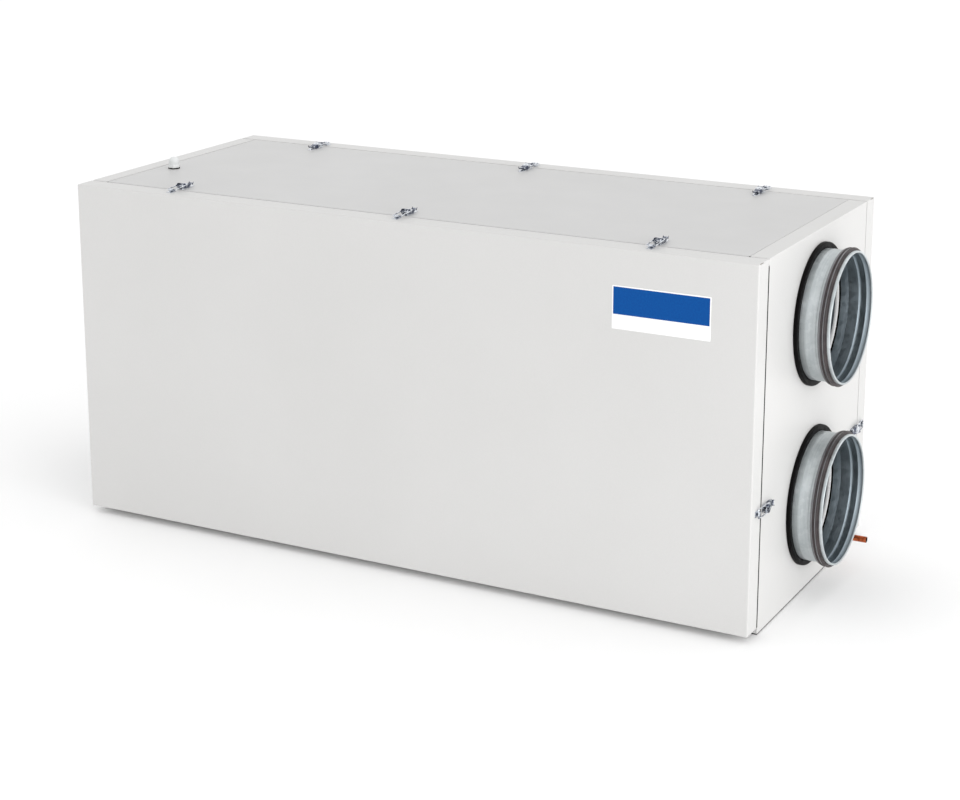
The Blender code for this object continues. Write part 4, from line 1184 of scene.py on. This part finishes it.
def fan_blade_mesh(turn):
    """Backward-curved blade with a rounded nose."""
    outer, inner, steps = [], [], 12
    root, tip, sweep = 0.070, FAN_RADIUS - 0.0022, math.radians(-42)
    for step in range(steps + 1):
        share = step / steps
        radius = root + (tip - root) * share
        x, y = radius * math.cos(sweep * share), radius * math.sin(sweep * share)
        nose = 0.0024 * min(1.0, 0.35 + 3 * share) * min(1.0, 0.5 + 3 * (1 - share))
        outer.append((x, y))
        inner.append((x + nose * 0.25, y + nose))
    low, high = WHEEL_START + 0.0125, WHEEL_TOP - 0.001
    place = Matrix.Rotation(turn, 4, "Z") @ at(0, 0, (low + high) / 2)
    return plate_mesh([outer + inner[::-1]], high - low, place)


def fan_wheel_mesh():
    shaft, shaft_end, blade_count = 0.0060, MOTOR_START + 0.030, 7
    hub = [(0.0, -0.0200), (0.0120, -0.0200), (0.0190, -0.0180), (0.0205, -0.0060)]
    rim = [(-0.0006, -0.0028), (0.0, -0.0022), (0.0, -0.0006), (-0.0006, 0.0)]
    disc = shifted(hub + [(0.0240, -0.0034)], 0.0, WHEEL_TOP)
    disc += shifted(rim, FAN_RADIUS, WHEEL_TOP)
    disc += [(shaft, WHEEL_TOP), (shaft, shaft_end), (0.0, shaft_end)]
    parts = [turned_mesh(disc, FAN_SIDES), turned_mesh(shroud_profile(), FAN_SIDES)]
    for i in range(blade_count):
        parts.append(fan_blade_mesh(2 * math.pi * i / blade_count))
    for x, y in circle((0, 0), 0.0285, 6):
        place = at(x, y, WHEEL_TOP - 0.0034) @ Matrix.Rotation(math.pi, 4, "X")
        parts.append(rivet_mesh(0.0026, 0.0016, place))
    return merged(*parts)


def motor_mesh():
    """External-rotor motor: a can with cooling ribs, a stepped end and its shaft's bore."""
    bore, can, rib_top, rib_count = 0.0066, 0.0460, 0.0478, 24
    profile = [(bore, MOTOR_START), (0.0400, MOTOR_START), (0.0440, MOTOR_START + 0.0016)]
    profile += [(can, MOTOR_START + 0.0045), (can, MOTOR_END - 0.0150)]
    profile += [(rib_top, MOTOR_END - 0.0135), (rib_top, MOTOR_END), (bore, MOTOR_END)]
    parts = [turned_mesh(profile, FAN_SIDES)]
    rib_low = (can - 0.0010, -0.0011, MOTOR_START + 0.0055)
    rib_high = (rib_top, 0.0011, MOTOR_END - 0.0140)
    for i in range(rib_count):
        rib = box_mesh(rib_low, rib_high)
        rib.transform(Matrix.Rotation(2 * math.pi * i / rib_count, 4, "Z"))
        parts.append(rib)
    return merged(*parts)


def bracket_mesh():
    """Four arms from the motor to the rods, with a round boss in the middle."""
    arm, reach = 0.0120, ROD_REACH * math.sqrt(2) + 0.012
    corners = [(reach - 0.005, -arm), (reach, 0.0), (reach - 0.005, arm), (arm * 2.2, arm * 1.2)]
    cross = []
    for quarter in range(4):
        turn = Matrix.Rotation(quarter * math.pi / 2 + math.pi / 4, 2)
        cross += [tuple(turn @ Vector(corner)) for corner in corners]
    place = at(0, 0, MOTOR_END + 0.0015)
    return plate_mesh([cross, circle((0, 0), 0.0120, 32)], 0.0030, place, 0.0004)


def fan_frame(side, fan):
    """The fan's own frame, from the place of its wheel's joint."""
    pivots = [joint["pos_m"] for joint in frame["joints"] if joint["name"] == fan + "_spin"]
    return at(*pivots[0]) @ Matrix.Rotation(side * math.pi / 2, 4, "Y")


def rod_set_mesh():
    """Four stand-off rods, each with its three nuts."""
    parts = []
    for x in (-ROD_REACH, ROD_REACH):
        for y in (-ROD_REACH, ROD_REACH):
            parts.append(rod_mesh((x, y, 0.0010), (x, y, MOTOR_END + 0.0002), 0.0050, 24))
            hexagon = circle((x, y), 0.0078, 6)
            for z in (0.0040, MOTOR_END - 0.0028, MOTOR_END + 0.0056):
                parts.append(plate_mesh([hexagon], 0.0050, at(0, 0, z), 0.0004))
    return merged(*parts)


def fan_plate_mesh(node, side, axis):
    """A fan's inlet plate, filling its mount's box, with the eye on the fan's axis."""
    low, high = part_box(node)
    thickness = 0.0015
    shift = side * (axis.z - (low.z + high.z) / 2)
    outline = rounded_rectangle(high.z - low.z, high.y - low.y, 0.0010, 2)
    outline = [(x + shift, y) for x, y in outline]
    eye = circle((0, 0), FAN_EYE, FAN_SIDES)
    return plate_mesh([outline, eye], thickness, at(0, 0, thickness / 2), 0.0002)


def make_fans():
    parts = (
        ("bell", turned_mesh(bell_profile(), FAN_SIDES), fan_black, 50, "fan_plastic"),
        ("motor", motor_mesh(), motor_black, 40, "motor_housing"),
        ("bracket", bracket_mesh(), sheet_zinc, 35, "galvanised_sheet"),
        ("rods", rod_set_mesh(), zinc_plate, 30, "bright_zinc"),
    )
    meshes = []
    for part, shape, material, smooth, slot in parts:
        meshes.append((part, mesh_data(f"fan_{part}", shape, material, smooth), slot))
    wheel = mesh_data("fan_wheel", fan_wheel_mesh(), fan_black, 40)
    for fan, side in (("supply_fan", -1), ("exhaust_fan", 1)):
        node, place = f"{fan}_mount", fan_frame(side, fan)
        plate = fan_plate_mesh(node, side, place.translation)
        made(f"{fan}_plate", plate, sheet_zinc, [node], place)
        for part, mesh, slot in meshes:
            piece(f"{fan}_{part}", mesh, "casing", [node], place)
        wheel_node = f"{fan}_wheel"
        piece(f"{wheel_node}_fine", wheel, wheel_node, [wheel_node], place)


# ---- exchanger, controller and small fittings
PLATE_COUNT = 84
FIN_HALF = 0.0002  # half of a thin plate's thickness


def make_exchanger():
    """Thin folded plates; every second channel is closed on each pair of faces."""
    node = "exchanger_plates"
    low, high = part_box(node)
    half = (high.x - low.x) / 2 / math.sqrt(2)
    pitch = (high.y - low.y) / PLATE_COUNT
    parts = []
    for i in range(PLATE_COUNT + 1):
        y = min(max(low.y + i * pitch, low.y + FIN_HALF), high.y - FIN_HALF)
        parts.append(box_mesh((-half, y - FIN_HALF, -half), (half, y + FIN_HALF, half)))
    for i in range(PLATE_COUNT):
        y0, y1 = low.y + i * pitch + FIN_HALF, low.y + (i + 1) * pitch - FIN_HALF
        for edge in (-half, half):
            near, far = edge * 0.9975, edge * 0.9935
            if i % 2:
                parts.append(box_mesh((near, y0, -half), (far, y1, half)))
            else:
                parts.append(box_mesh((-half, y0, near), (half, y1, far)))
    x, _, z = centre_of(node)
    place = at(x, 0, z) @ Matrix.Rotation(math.radians(45), 4, "Y")
    made("exchanger_fins", merged(*parts), foil, [node], place)


def cross_screw_mesh(matrix):
    """Pan-head screw with a cross recess."""
    head = [(0.0, 0.0), (0.0032, 0.0), (0.0032, 0.0006)] + arc((0.0018, 0.0006), 0.0012, 20, 90, 4)
    head.append((0.0, 0.0020))
    long, narrow = 0.0020, 0.0004
    slots = []
    for x, y in ((long, narrow), (narrow, long)):
        slots.append(box_mesh((-x, -y, 0.0010), (x, y, 0.0030)))
    screw = cut(turned_mesh(head, 24), *slots)
    screw.transform(matrix)
    return screw


def make_controller_fittings():
    """Lid screws, a raised panel and three cable bushes on the controller box."""
    low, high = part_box("controller_box")
    centre = centre_of("controller_box")
    inset, border = 0.011, 0.046
    screws = []
    for x in (low.x + inset, high.x - inset):
        for z in (low.z + inset, high.z - inset):
            screws.append(cross_screw_mesh(at(x, low.y, z) @ FACING_FRONT))
    made("controller_screws", merged(*screws), zinc_plate, smooth=30)
    outline = rounded_rectangle(high.x - low.x - border, high.z - low.z - border, 0.006)
    panel = plate_mesh([outline], 0.0012, Matrix(), 0.0004)
    place = at(centre.x, low.y - 0.0004, centre.z) @ FACING_FRONT
    made("controller_panel", panel, box_grey, matrix=place)
    profile = [(0.0, 0.0), (0.0095, 0.0), (0.0095, 0.0030), (0.0080, 0.0034)]
    profile += [(0.0072, 0.0100), (0.0045, 0.0120), (0.0, 0.0120)]
    bushes, down = [], Matrix.Rotation(math.pi, 4, "X")
    for x in (-0.045, 0.0, 0.045):
        place = at(centre.x + x, centre.y + 0.008, low.z + 0.003) @ down
        bushes.append(turned_mesh(profile, 32, place))
    made("controller_bushes", merged(*bushes), fan_black, smooth=40)


# ---- nodes that keep their CAD shape
KEPT = {
    "condensate_tray": stainless,
    "exchanger_frame": sheet_zinc,
    "bypass_damper_blade": sheet_zinc,
    "damper_actuator": orange,
    "controller_box": box_grey,
    "base_insulation": wool,
}


def finish_kept_nodes():
    """Gives the nodes that stay their materials, and soft edges where they are sheet metal."""
    for name, material in KEPT.items():
        node = frame["nodes"][name]
        for slot in node.material_slots:
            slot.material = material
        if name in ("condensate_tray", "exchanger_frame", "bypass_damper_blade"):
            softened(node, 0.0003, 1)


make_camera()
make_studio()
make_skins()
make_spigots()
make_drain()
make_latches()
make_gland()
make_label()
make_door_gaskets()
make_shade_strips()
make_liners()
make_filters()
make_fans()
make_exchanger()
make_controller_fittings()
finish_kept_nodes()
